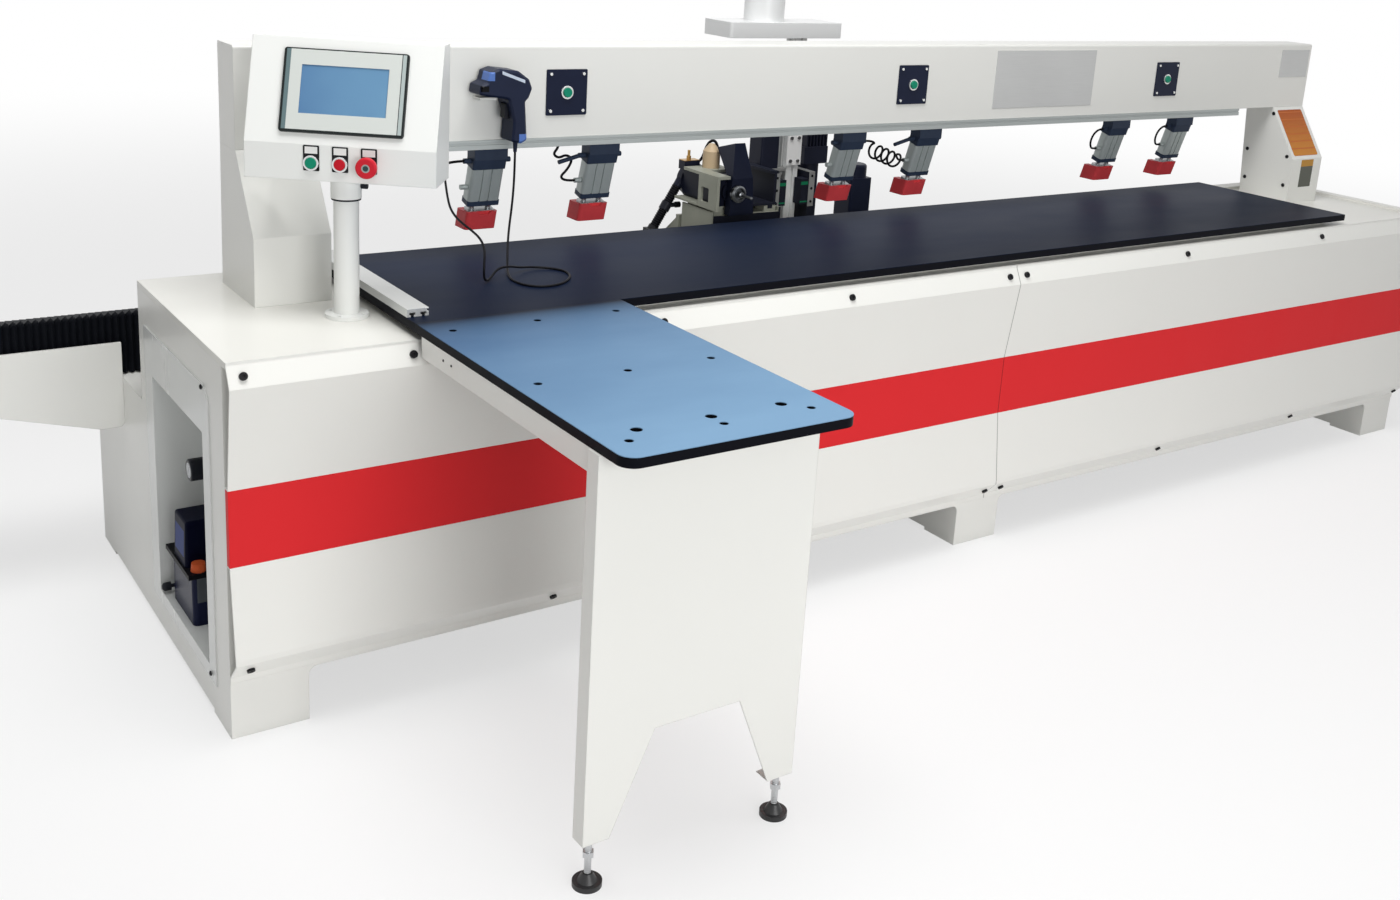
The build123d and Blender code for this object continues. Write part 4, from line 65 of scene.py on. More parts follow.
class Wire:
    """A shader socket. Sums, products and comparisons of wires add their Math nodes."""

    def __init__(self, tree, socket):
        self.tree = tree
        self.socket = socket

    def node(self, kind, settings, sockets, out=0):
        """Adds a node, sets it up, feeds its sockets and gives one of its outputs."""
        made = self.tree.nodes.new(kind)
        for name, value in settings.items():
            setattr(made, name, value)
        for name, value in sockets.items():
            if isinstance(value, Wire):
                self.tree.links.new(value.socket, made.inputs[name])
            else:
                made.inputs[name].default_value = value
        return Wire(self.tree, made.outputs[out])

    def math(self, operation, other=0.0, swapped=False):
        """Math node on this wire and another value, or the other way round."""
        first, second = (other, self) if swapped else (self, other)
        return self.node("ShaderNodeMath", {"operation": operation}, {0: first, 1: second})

    def __add__(self, other):
        return self.math("ADD", other)

    def __sub__(self, other):
        return self.math("SUBTRACT", other)

    def __rsub__(self, other):
        return self.math("SUBTRACT", other, True)

    def __mul__(self, other):
        return self.math("MULTIPLY", other)

    def __truediv__(self, other):
        return self.math("DIVIDE", other)

    def __gt__(self, other):
        return self.math("GREATER_THAN", other)

    def __lt__(self, other):
        return self.math("LESS_THAN", other)

    def __abs__(self):
        return self.math("ABSOLUTE")

    __radd__ = __add__
    __rmul__ = __mul__

    def between(self, low, high):
        """1 where the value lies between two others, else 0."""
        return (self > low) * (self < high)

    def fraction(self):
        """What the value has beyond its whole number."""
        return self - self.math("FLOOR")

    def around(self, middle, spread):
        """Value that strays by a spread about a middle, for a wire from 0 to 1."""
        return middle - spread + 2 * spread * self

    def into(self, shader, name):
        """Feeds a socket of a shader."""
        self.tree.links.new(self.socket, shader.inputs[name])

    def bed(self):
        """The three numbers of a place, counted from the left front corner of the bed."""
        parts = self.node("ShaderNodeSeparateXYZ", {}, {0: self}).socket.node
        x, y, z = [Wire(self.tree, socket) for socket in parts.outputs]
        return x + BED_X, y + BED_Y, z

    def noise(self, scale, detail=2.0, stretch=(1, 1, 1)):
        """Soft noise from 0 to 1, so many grains to a metre, drawn out by a stretch."""
        where = self.node("ShaderNodeVectorMath", {"operation": "MULTIPLY"}, {0: self, 1: stretch})
        grain = {"Vector": where, "Scale": scale, "Detail": detail}
        return self.node("ShaderNodeTexNoise", {}, grain)

    def mix(self, first, second):
        """Colour between two, by this wire as the share of the second."""
        colours = {0: self, 6: first, 7: second}
        return self.node("ShaderNodeMix", {"data_type": "RGBA"}, colours, 2)

    def tones(self, colour, low, high):
        """One colour with its light scaled from a low share to a high one."""
        return self.mix(shade(colour, low), shade(colour, high))

    def bump(self, strength, distance, edge=0.0):
        """Normal of a surface with this wire as its height, and rounded edges."""
        sockets = {"Strength": strength, "Distance": distance, "Height": self}
        if edge:
            sockets["Normal"] = self.node("ShaderNodeBevel", {"samples": 4}, {"Radius": edge})
        return self.node("ShaderNodeBump", {}, sockets)


def new_finish(name):
    """Material, its shader and the place on the object as a wire."""
    material = bpy.data.materials.new(name)
    material.use_nodes = True
    tree = material.node_tree
    place = Wire(tree, tree.nodes.new("ShaderNodeTexCoord").outputs["Object"])
    return material, tree.nodes["Principled BSDF"], place


def settle(shader, values):
    """Gives sockets of a shader their plain values."""
    for name, value in values.items():
        shader.inputs[name].default_value = value


def shade(colour, share=1.0):
    """Colour with its light scaled, opaque."""
    return (colour[0] * share, colour[1] * share, colour[2] * share, 1.0)


def sheet_paint(name, colour, rough, edge=0.0025, coat=0.15, seam=None):
    """Sprayed paint on sheet steel: cloudy, with orange peel, soft edges and maybe a seam."""
    material, shader, place = new_finish(name)
    cloud = place.noise(1.7, 4.0)
    scuff = place.noise(14.0, 5.0, (1, 1, 0.25))
    peel = place.noise(380.0, 1.0)
    tone = cloud.tones(colour, 0.965, 1.02)
    if seam:
        joint = abs(place.bed()[0] - seam) < SEAM_HALF
        tone = joint.mix(tone, shade(colour, 0.4))
    tone.into(shader, "Base Color")
    scuff.around(rough, 0.05).into(shader, "Roughness")
    peel.bump(0.05, 0.0006, edge).into(shader, "Normal")
    settle(shader, {"Specular IOR Level": 0.3 if coat else 0.12,
                    "Coat Weight": coat, "Coat Roughness": 0.12})
    return material


def dress(material, *names):
    """Gives CAD nodes a finish."""
    for name in names:
        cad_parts[name].material_slots[0].material = material


white_paint = sheet_paint("white_paint", OFF_WHITE, 0.36)
dress(white_paint, "base_frame")

# Deck plate: thick sheet on top of the housing with three battens for the table and a
# shallow tray pocket on the right. It has the same paint, a little creamier.
dress(sheet_paint("deck_paint", (0.80, 0.795, 0.75), 0.38), "deck_plate")

# Front covers and stripes: folded sheet with a bulged upper band and a sloped lower lip,
# and red painted channels let into their recess. They are held by black socket screws.
COVER_SEAM = 1.939
dress(sheet_paint("cover_paint", OFF_WHITE, 0.36, seam=COVER_SEAM),
      "front_cover_left", "front_cover_right")
dress(sheet_paint("stripe_red", (0.70, 0.022, 0.027), 0.5, edge=0.0015, coat=0.0, seam=COVER_SEAM),
      "front_stripes")


def black_metal(name, colour, rough):
    """Blackened or black-painted metal with a fine grain."""
    material, shader, place = new_finish(name)
    grain = place.noise(900.0, 2.0)
    patch = place.noise(30.0, 3.0)
    patch.tones(colour, 0.8, 1.25).into(shader, "Base Color")
    patch.around(rough, 0.08).into(shader, "Roughness")
    grain.bump(0.12, 0.0004, 0.0008).into(shader, "Normal")
    settle(shader, {"Metallic": 0.35, "Specular IOR Level": 0.2})
    return material


screw_black = black_metal("screw_black", (0.012, 0.012, 0.014), 0.45)
dress(screw_black, "cover_screws")

# Left end cover: a flat sheet plate with a deep open tray behind it, held by button-head
# screws at its edge. Its colour is a little greyer and its finish glossier than the front covers'.
dress(sheet_paint("end_paint", (0.72, 0.735, 0.72), 0.26), "end_cover")
TO_LEFT = (-1, 0, 0)


def put(name, data):
    """Object with some data, linked to the scene."""
    made = bpy.data.objects.new(name, data)
    bpy.context.scene.collection.objects.link(made)
    return made


def new_piece(name, mesh, material, body):
    """Object from a bmesh in machine millimetres, with a material and on a body if one is given.
    """
    bmesh.ops.scale(mesh, verts=mesh.verts, vec=(0.001, 0.001, 0.001))
    bmesh.ops.translate(mesh, verts=mesh.verts, vec=(-BED_X, -BED_Y, 0))
    bmesh.ops.recalc_face_normals(mesh, faces=mesh.faces)
    data = bpy.data.meshes.new(name)
    mesh.to_mesh(data)
    mesh.free()
    data.materials.append(material)
    made = put(name, data)
    if body:
        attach(made, body)
    return made


def aimed(direction):
    """Turn that takes the upright axis to a direction."""
    return Vector((0, 0, 1)).rotation_difference(Vector(direction)).to_matrix().to_4x4()


def lathe(mesh, outline, steps, centre=(0, 0, 0), closed=False):
    """Turns a line of radii and heights full circle about an upright axis."""
    line = [mesh.verts.new((centre[0] + radius, centre[1], height)) for radius, height in outline]
    following = line[1:] + line[:1] if closed else line[1:]
    edges = [mesh.edges.new(pair) for pair in zip(line, following)]
    bmesh.ops.spin(mesh, geom=line + edges, axis=(0, 0, 1), cent=centre, angle=2 * pi,
                   steps=steps, use_merge=True)


def screw_heads(name, places, facing, radius, tall, body="machine"):
    """Low round heads with a socket, on faces that look one way."""
    mesh = bmesh.new()
    turn = aimed(facing)
    shares = [(0, 0), (1, 0), (1, 0.55), (0.72, 1), (0.44, 1), (0.4, 0.3), (0, 0.3)]
    outline = [(radius * out, tall * up) for out, up in shares]
    for place in places:
        before = len(mesh.verts)
        lathe(mesh, outline, 14)
        bmesh.ops.transform(mesh, verts=list(mesh.verts)[before:],
                            matrix=Matrix.Translation(place) @ turn)
    bmesh.ops.remove_doubles(mesh, verts=mesh.verts, dist=0.001)
    return new_piece(name, mesh, screw_black, body)


screw_heads("end_cover_screws", [(-4, 140, 661), (-4, 136, 84)], TO_LEFT, 5, 3)

# Oil pump, tank, gauge and pull knob: the lubrication set in the tray. A moulded pump on
# a black lid over a dark tank with an orange cap, a round gauge and a rod with a knob. The
# tank is painted lighter on its upper part as a highlight.
LID_TOP = 0.2155
GAUGE_Y, GAUGE_Z = 0.27, 0.45
GAUGE_TICKS = 36
BLACK = (0.011, 0.012, 0.017)


def patched(name, colour, rough, patches=None, edge=0.0012, level=0.12):
    """Moulded or anodised piece. A patch is a mask, a colour, a roughness and a metal share."""
    material, shader, place = new_finish(name)
    fine = place.noise(1400.0, 2.0)
    wide = place.noise(22.0, 3.0)
    tone = wide.tones(colour, 0.86, 1.14)
    gloss = wide.around(rough, 0.05)
    bright = 0.0 * wide
    for mask, patch, patch_rough, patch_metal in patches(place) if patches else ():
        tone = mask.mix(tone, patch)
        gloss = gloss + mask * (patch_rough - gloss)
        bright = bright + mask * (patch_metal - bright)
    tone.into(shader, "Base Color")
    gloss.into(shader, "Roughness")
    bright.into(shader, "Metallic")
    fine.bump(0.1, 0.0003, edge).into(shader, "Normal")
    settle(shader, {"Specular IOR Level": level})
    return material


def pump_patches(place):
    """Black lid below the blue housing and a lighter window in its end."""
    x, y, z = place.bed()
    window = (x < 0.0112) * y.between(0.347, 0.409) * z.between(0.234, 0.29)
    return [(z < LID_TOP, (0.006, 0.006, 0.008, 1), 0.4, 0.0),
            (window, (0.010, 0.032, 0.17, 1), 0.35, 0.0)]


def tank_patches(place):
    """Darker below a line and on the outer side, and the orange filler cap above the lid. The
    lighter tone above the line is a painted highlight.
    """
    x, _, z = place.bed()
    tank_dark = (0.01, 0.013, 0.04, 1)
    return [(z < 0.148, tank_dark, 0.2, 0.0), (x < 0.02, tank_dark, 0.25, 0.0),
            (z > LID_TOP, (0.62, 0.11, 0.035, 1), 0.35, 0.0)]


def gauge_patches(place):
    """White dial with plain ticks and a needle, inside a black rim."""
    x, y, z = place.bed()
    across, up = y - GAUGE_Y, z - GAUGE_Z
    reach = (across * across + up * up).math("SQRT")
    angle = across.math("ARCTAN2", up) * (GAUGE_TICKS / (2 * pi))
    dial = (x < 0.003) * (reach < 0.015)
    tick = dial * reach.between(0.0105, 0.0132) * (angle.fraction() < 0.3)
    needle = dial * (abs(across + 0.6 * up) < 0.0009) * (reach < 0.0102)
    ink = (0.02, 0.02, 0.02, 1)
    return [(dial, (0.5, 0.52, 0.54, 1), 0.25, 0.0), (tick, ink, 0.3, 0.0),
            (needle, ink, 0.3, 0.0)]


black_plastic = patched("black_plastic", BLACK, 0.4)
dress(patched("pump_plastic", (0.002, 0.003, 0.014), 0.4, pump_patches, level=0.04),
      "lubrication_pump")
# The tank's base tone is a painted highlight; its patches give its own darker tone.
dress(patched("tank_plastic", (0.085, 0.095, 0.105), 0.3, tank_patches, level=0.06), "oil_tank")
dress(patched("gauge_finish", BLACK, 0.36, gauge_patches), "air_regulator")
dress(black_plastic, "pull_knob")

# Main table and extension board: laminated boards with black edges, both navy black with
# the fine pebble of a work-surface laminate. The extension's steel blue and the table's
# lighter blue towards the back are a painted reflection.
TABLE_FRONT = 0.0056
FACE_Z = 0.7758


def laminate(name, node, colour, reflection_colour, rough):
    """Pebbled laminate with a black edge and a painted reflection whose tone changes towards the
    far left and back and fades out near the joint with the table.
    """
    material, shader, place = new_finish(name)
    x, y, z = place.bed()
    low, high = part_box(node)
    pebble = place.noise(620.0, 2.0)
    wipes_and_reflection = place.noise(3.2, 4.0, (1, 2.2, 1))
    far_back = (y - low.y - BED_Y) / (high.y - low.y)
    far_right = (x - low.x - BED_X) / (high.x - low.x)
    far = far_back - 0.25 * far_right
    face = (far + 0.35 * wipes_and_reflection - 0.12).mix(shade(colour), shade(reflection_colour))
    # Near the table the painted reflection on the extension fades to the board's own dark tone.
    joint = (y < TABLE_FRONT) * (y / 0.055).math("EXPONENT")
    face = joint.mix(face, (0.005, 0.008, 0.017, 1))
    (z < FACE_Z).mix(face, (0.006, 0.006, 0.008, 1)).into(shader, "Base Color")
    wipes_and_reflection.around(rough, 0.06).into(shader, "Roughness")
    pebble.bump(0.08, 0.0003, 0.0012).into(shader, "Normal")
    settle(shader, {"Specular IOR Level": 0.03, "Specular Tint": (0.4, 0.62, 1.0, 1.0)})
    return material


dress(laminate("table_laminate", "main_table", (0.005, 0.008, 0.019), (0.009, 0.016, 0.040), 0.45),
      "main_table")
# The extension's colours are a painted reflection; the board itself is as dark as the table.
dress(laminate("extension_laminate", "extension_board", (0.20, 0.345, 0.515), (0.07, 0.14, 0.26),
               0.4), "extension_board")

# Extension frame and levelling feet: square tubes on a folded leg plate, painted with the
# machine, and two screwed stems of bright steel on black swivel pads. Two small screws
# hold the left tube at its back end.
dress(white_paint, "extension_frame")
screw_heads("tube_screws", [(351, -120, 741), (351, -154, 741)], TO_LEFT, 2.4, 1.5)
PAD_TOP = 0.0235


def foot_finish():
    """Black moulded pad below and turned steel above it."""
    material, shader, place = new_finish("foot_finish")
    steel = place.bed()[2] > PAD_TOP
    thread = place.node("ShaderNodeTexWave", {"bands_direction": "Z"},
                        {"Vector": place, "Scale": 95.0})
    steel.mix((0.013, 0.013, 0.014, 1), (0.55, 0.56, 0.57, 1)).into(shader, "Base Color")
    steel.into(shader, "Metallic")
    (0.42 - 0.14 * steel).into(shader, "Roughness")
    (thread * steel).bump(0.5, 0.0006).into(shader, "Normal")
    return material


dress(foot_finish(), "levelling_feet")


# Side fence and clamp rail: extruded aluminium with screw slots, drawn along its length
# and clear anodised, bolted on the table's left end and under the beam.
def drawn_metal(name, colour, rough, stretch, metallic=1.0):
    """Drawn or brushed metal with its lines along one direction."""
    material, shader, place = new_finish(name)
    lines = place.noise(260.0, 3.0, stretch)
    cloud = place.noise(8.0, 3.0)
    (lines * 0.6 + cloud * 0.4).tones(colour, 0.84, 1.12).into(shader, "Base Color")
    lines.around(rough, 0.08).into(shader, "Roughness")
    lines.bump(0.07, 0.0003, 0.0008).into(shader, "Normal")
    settle(shader, {"Metallic": metallic})
    return material


dress(drawn_metal("fence_aluminium", (0.66, 0.67, 0.66), 0.36, (4, 0.06, 4), 0.7), "side_fence")
dress(drawn_metal("rail_aluminium", (0.40, 0.43, 0.425), 0.45, (0.06, 4, 4), 0.5), "clamp_rail")

# Columns and cross beam: folded posts that carry a hollow box beam, all in the same paint,
# with black screws in the post's side and two bare plates riveted on the beam.
dress(white_paint, "left_column", "right_post", "cross_beam")
POST_SIDE = 3518
post_holes = ((414, 1020), (492, 892), (341, 890), (486, 798), (339, 796))
screw_heads("post_screws", [(POST_SIDE, y, z) for y, z in post_holes], TO_LEFT, 6, 3)


def bare_plate(name, low, high, material):
    """Thin rectangular plate between two corners, with eased edges."""
    mesh = bmesh.new()
    size = Vector(high) - Vector(low)
    bmesh.ops.create_cube(mesh, size=1)
    bmesh.ops.scale(mesh, verts=mesh.verts, vec=size)
    bmesh.ops.translate(mesh, verts=mesh.verts, vec=Vector(low) + size / 2)
    bmesh.ops.bevel(mesh, geom=mesh.edges, offset=0.4, affect="EDGES", segments=2, profile=0.5,
                    material=-1)
    return new_piece(name, mesh, material, "machine")


plate_aluminium = drawn_metal("plate_aluminium", (0.55, 0.555, 0.55), 0.45, (0.06, 4, 4), 0.3)
bare_plate("sign_plate", (2222, 418.6, 1069), (2624, 420, 1228), plate_aluminium)
bare_plate("rating_plate", (3520, 418.6, 1138), (3668, 420, 1226), plate_aluminium)

# Post windows: a sheet of orange acrylic in the sloped front of the right post, and a
# smaller smoky pane with an amber top in the upright front below it.
KNEE_Z = 0.88


def window_patches(place):
    """Lighter foot of the sheet, faint moulded lines, and the small pane below the knee."""
    z = place.bed()[2]
    lines = (z * 46.0).fraction() < 0.16
    risen = (z - 0.884) / 0.156
    glow = (1.0 - risen).mix((0.40, 0.07, 0.01, 1), (0.62, 0.25, 0.03, 1))
    return [(z > KNEE_Z, glow, 0.16, 0.0),
            (lines * (z > KNEE_Z), (0.50, 0.13, 0.02, 1), 0.3, 0.0),
            (z < KNEE_Z, (0.11, 0.115, 0.095, 1), 0.2, 0.0),
            (z.between(0.858, KNEE_Z), (0.5, 0.25, 0.04, 1), 0.25, 0.0)]


dress(patched("orange_acrylic", (0.6, 0.2, 0.02), 0.15, window_patches), "post_window")

# Air clamps: black hangers and end caps, grey extruded barrels and red moulded pads on
# steel rods, two to a station. The barrels hang from the rail and slant to the back.
PAD_YOKE = 0.8655


def pad_patches(place):
    """Ground steel of the rods and yoke above the red pad."""
    return [(place.bed()[2] > PAD_YOKE, (0.36, 0.37, 0.38, 1), 0.3, 0.9)]


dress(patched("cap_navy", (0.036, 0.052, 0.09), 0.4), "clamp_caps")
dress(drawn_metal("barrel_aluminium", (0.50, 0.55, 0.54), 0.45, (4, 4, 0.08), 0.3),
      "clamp_barrels")
dress(patched("pad_finish", (0.74, 0.07, 0.08), 0.42, pad_patches, edge=0.002),
      "clamp_pads_1", "clamp_pads_2", "clamp_pads_3")

# Station plates and buttons: black anodised plates with four bright screws, each with a
# bright bezel round a green push button.
PLATE_THICK = 0.0031


def plate_patches(place):
    """Bezels and corner screws stand proud of the plate and are bright."""
    plate_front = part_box("station_plates")[1].y + BED_Y - PLATE_THICK
    return [(place.bed()[1] < plate_front, (0.7, 0.71, 0.7, 1), 0.26, 0.8)]


dress(patched("plate_finish", (0.008, 0.012, 0.032), 0.36, plate_patches, edge=0.0008),
      "station_plates")
dress(patched("button_green", (0.008, 0.24, 0.14), 0.3),
      "station_button_1", "station_button_2", "station_button_3", "start_button")

# Pedestal and panel: a flanged tube on the deck with a folded console on it, painted with
# the machine. The console turns on the tube over a black washer, and a black screw clamps
# its sleeve.
dress(sheet_paint("panel_paint", (0.84, 0.85, 0.825), 0.38), "panel_box", "pedestal")
PEDESTAL = Vector((292.5, 199.5, 0))


def rod(mesh, radius, length, segments, matrix):
    """Round rod along the upright axis of a matrix, with its middle at the matrix's place."""
    bmesh.ops.create_cone(mesh, cap_ends=True, segments=segments, radius1=radius, radius2=radius,
                          depth=length, matrix=matrix)


sleeve_screw = bmesh.new()
panel_turn = Matrix.Translation(PEDESTAL) @ Matrix.Rotation(radians(-35.8), 4, "Z")
sleeve_side = Matrix.Translation((35, 0, 1006)) @ Matrix.Rotation(pi / 2, 4, "Y")
rod(sleeve_screw, 6.5, 13, 16, panel_turn @ sleeve_side)
end_edges = [edge for edge in sleeve_screw.edges
             if len(edge.link_faces) == 2 and edge.calc_face_angle() > 1]
bmesh.ops.bevel(sleeve_screw, geom=end_edges, offset=1.2, affect="EDGES", segments=2, profile=0.5,
                material=-1)
new_piece("sleeve_screw", sleeve_screw, black_plastic, "panel")
washer = bmesh.new()
lathe(washer, [(24.3, 977.6), (28, 977.6), (28, 980.4), (24.3, 980.4)], 40, PEDESTAL, closed=True)
new_piece("sleeve_washer", washer, black_plastic, "machine")

# Operator screen, legend plates and buttons of the panel: a moulded bezel with a pale
# frame and a blue display, black legend frames with blank cards, and bright bezels.
PANEL_COS, PANEL_SIN = 0.81106, 0.58496
SCREEN_Z = 1.1825
SCREEN_LEAN_COS = 0.9452
BUTTON_PITCH = 0.054
BUTTON_Z = 1.051


def panel_axes(place):
    """Place along the panel's face and behind it, counted from the pedestal, and its height."""
    x, y, z = place.bed()
    x, y = x - PEDESTAL.x / 1000, y - PEDESTAL.y / 1000
    return x * PANEL_COS - y * PANEL_SIN, x * PANEL_SIN + y * PANEL_COS, z


def screen_patches(place):
    """Pale frame, grey side bands and the display, inside a thin dark edge."""
    along, _, z = panel_axes(place)
    up = (z - SCREEN_Z) / SCREEN_LEAN_COS
    tall = up.between(-0.0745, 0.0768)
    sheen = place.noise(9.0, 2.0) * 0.6 + along * 3.0
    display = sheen.mix((0.10, 0.215, 0.385, 1), (0.17, 0.34, 0.50, 1))
    return [(tall * along.between(-0.1115, -0.1035), (0.13, 0.19, 0.2, 1), 0.3, 0.0),
            (tall * along.between(0.1055, 0.1125), (0.42, 0.48, 0.47, 1), 0.3, 0.0),
            (tall * along.between(-0.1035, 0.104), (0.62, 0.65, 0.62, 1), 0.35, 0.0),
            (along.between(-0.0815, 0.0815) * up.between(-0.044, 0.048), display, 0.16, 0.0)]


def legend_patches(place):
    """Blank white card above each button, and the proud metal bezels."""
    along, back, z = panel_axes(place)
    near = along.math("PINGPONG", BUTTON_PITCH / 2)
    card = (near < 0.0118) * z.between(1.0685, 1.0815)
    return [(card, (0.80, 0.80, 0.78, 1), 0.4, 0.0),
            (back < -0.0418, (0.72, 0.73, 0.73, 1), 0.25, 0.8)]


def stop_patches(place):
    """Small grey ring with a dark middle on the mushroom head."""
    along, back, z = panel_axes(place)
    side, up = along - BUTTON_PITCH, z - BUTTON_Z
    reach = side * side + up * up
    face = back < -0.06
    return [(face * (reach < 0.0078 ** 2), (0.33, 0.36, 0.35, 1), 0.35, 0.0),
            (face * (reach < 0.0052 ** 2), (0.03, 0.06, 0.06, 1), 0.35, 0.0)]


dress(patched("screen_finish", (0.016, 0.02, 0.02), 0.34, screen_patches), "hmi_unit")
dress(patched("legend_finish", (0.01, 0.01, 0.012), 0.38, legend_patches, edge=0.0006),
      "legend_plates")
dress(patched("button_red", (0.55, 0.012, 0.025), 0.3), "stop_button")
dress(patched("mushroom_red", (0.6, 0.02, 0.035), 0.3, stop_patches), "estop_button")


# Hand scanner: a moulded pistol shape on a hook of the beam, dark navy with a blue nose,
# a painted highlight along its top, a dark window in its front and a blue foot to its handle.
def scanner_patches(place):
    """Blue nose and foot, a painted highlight along the top and the dark window."""
    x, y, z = place.bed()
    blue = (0.10, 0.19, 0.5, 1)
    sheen = abs(z - 1.191 + 0.36 * (x - 0.7)) < 0.0034
    window = x.between(0.646, 0.664) * z.between(1.153, 1.165)
    return [((x < 0.677) * (y < 0.392) * z.between(1.176, 1.194), blue, 0.3, 0.0),
            ((x > 0.737) * z.between(1.0405, 1.061), blue, 0.3, 0.0),
            (sheen * x.between(0.694, 0.748), (0.55, 0.62, 0.72, 1), 0.25, 0.0),
            (window, (0.002, 0.002, 0.003, 1), 0.15, 0.0)]


dress(patched("scanner_navy", (0.012, 0.017, 0.04), 0.36, scanner_patches), "scanner_body")
dress(black_plastic, "scanner_trigger")


# Scanner cord: a thin black rubber lead from the handle, down over the table in a loose
# loop and up into a gland under the beam.
def soft_black(name, colour, rough):
    """Soft black rubber or vinyl with a fine matt grain."""
    material, shader, place = new_finish(name)
    grain = place.noise(1500.0, 2.0)
    wide = place.noise(40.0, 2.0)
    wide.tones(colour, 0.8, 1.3).into(shader, "Base Color")
    wide.around(rough, 0.05).into(shader, "Roughness")
    grain.bump(0.15, 0.0003).into(shader, "Normal")
    settle(shader, {"Specular IOR Level": 0.1})
    return material


lead_black = soft_black("lead_black", (0.005, 0.005, 0.007), 0.45)


def lead(name, route, radius, body):
    """Round lead along the smooth line of a route given in machine millimetres."""
    curve = bpy.data.curves.new(name, "CURVE")
    curve.dimensions = "3D"
    line = curve.splines.new("NURBS")
    line.points.add(len(route) - 1)
    for point, (x, y, z) in zip(line.points, route):
        point.co = (x / 1000 - BED_X, y / 1000 - BED_Y, z / 1000, 1.0)
    line.order_u = 3
    line.use_endpoint_u = True
    line.resolution_u = 6
    curve.bevel_depth = radius
    curve.bevel_resolution = 4
    curve.use_fill_caps = True
    curve.materials.append(lead_black)
    made = put(name, curve)
    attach(made, body)
    return made


CORD_RUN = [
    (742, 384, 1018), (742, 384, 978), (740, 383, 935), (733, 376, 895), (722, 364, 858),
    (708, 342, 824), (690, 306, 787.5), (668, 258, 779.5), (655, 212, 779.5), (660, 168, 779.5),
    (690, 142, 779.5), (730, 146, 779.5), (764, 170, 779.5), (790, 204, 779.5), (798, 246, 779.5),
    (776, 280, 779.5), (738, 290, 782.5), (704, 277, 787.5), (672, 259, 797.5), (640, 252, 797.5),
    (612, 232, 779.5), (589, 210, 785.5), (588, 209, 817.5), (597, 224, 845.5), (601, 252, 863.5),
    (598, 296, 874.5), (592, 342, 884.5), (592, 384, 899.5), (597, 412, 923.5), (601, 432, 953.5),
    (602, 448, 981.5), (602, 460, 1002), (602, 460, 1024),
]
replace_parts(lead("scanner_lead", CORD_RUN, 0.0025, "machine"),
            "scanner_cord")

# Air hoses: black tubes between the beam and the clamps: a short one on the left, a kinked
# drop, a coiled lead in the middle and a small loop at each of the right-hand clamps.
HOSE = 0.003
CLAMP_Y, CLAMP_Z = 472, 1000
LEAN = radians(16.2)
PORT_Y, PORT_Z = CLAMP_Y + 15 * sin(LEAN), 985
LOW_Y, LOW_Z = CLAMP_Y + 80 * sin(LEAN), CLAMP_Z - 80 * cos(LEAN)
COIL_TURNS, COIL_STEPS, COIL_PITCH = 4, 16, 24
COIL_RADIUS, COIL_TILT = 19.3, radians(20)
LEFT_RUN = [
    (664, PORT_Y, PORT_Z), (640, PORT_Y, PORT_Z), (610, 477, 979), (570, 478, 976),
    (538, 479, 987), (522, 480, 999), (516, 480, 1012), (516, 480, 1024),
]
DROP_RUN = [
    (904, 482, 1024), (904, 482, 1006), (889, 483, 990), (905, 484, 979), (925, 485, 987),
    (944, 487, 975), (932, 490, 950), (914, 492, 934), (930, LOW_Y, LOW_Z), (954, LOW_Y, LOW_Z),
]
coil_run = [(1820, PORT_Y, PORT_Z), (1832, PORT_Y, PORT_Z), (1844, PORT_Y - 6, 983)]
for step in range(COIL_TURNS * COIL_STEPS + 1):
    turn, down = 2 * pi * step / COIL_STEPS, COIL_PITCH * step / COIL_STEPS
    rise = COIL_RADIUS * cos(turn)
    coil_run.append((1848 + down * cos(COIL_TILT) + rise * sin(COIL_TILT),
                     PORT_Y + COIL_RADIUS * sin(turn),
                     959 - down * sin(COIL_TILT) + rise * cos(COIL_TILT)))
coil_run += [(1952, LOW_Y + 2, 940), (1960, LOW_Y + 3, 927), (1967, LOW_Y, LOW_Z),
             (1979, LOW_Y, LOW_Z)]
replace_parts(lead("coiled_air_hose", coil_run, HOSE, "machine"),
            "air_hoses")
lead("left_air_hose", LEFT_RUN, HOSE, "machine")
lead("drop_air_hose", DROP_RUN, HOSE, "machine")
for name, x in (("near_loop_hose", 2816), ("far_loop_hose", 3116)):
    loop_run = [
        (x - 56, PORT_Y, PORT_Z), (x - 72, PORT_Y, PORT_Z), (x - 90, PORT_Y + 3, 971),
        (x - 94, PORT_Y + 9, 947), (x - 81, LOW_Y - 2, LOW_Z + 4), (x - 69, LOW_Y, LOW_Z),
        (x - 55, LOW_Y, LOW_Z),
    ]
    lead(name, loop_run, HOSE, "machine")

# Rail beam, guide rails, rack and pinion: a painted box beam on the rear ledge, carried
# past the left end by two tapered plates, with ground guide rails and a milled rack on it.
dress(white_paint, "rail_beam")
dress(drawn_metal("ground_steel", (0.5, 0.51, 0.52), 0.26, (0.05, 4, 4)),
      "guide_rails", "gear_rack", "pinion", "bearing_blocks")

# Bellows: black coated cloth folded into fine pleats over the rails, sloped to the back,
# from the end plates to the carriage.
PLEAT = 14.5
PLEAT_DEEP = 11.5
cover_cloth = soft_black("cover_cloth", (0.006, 0.007, 0.01), 0.6)


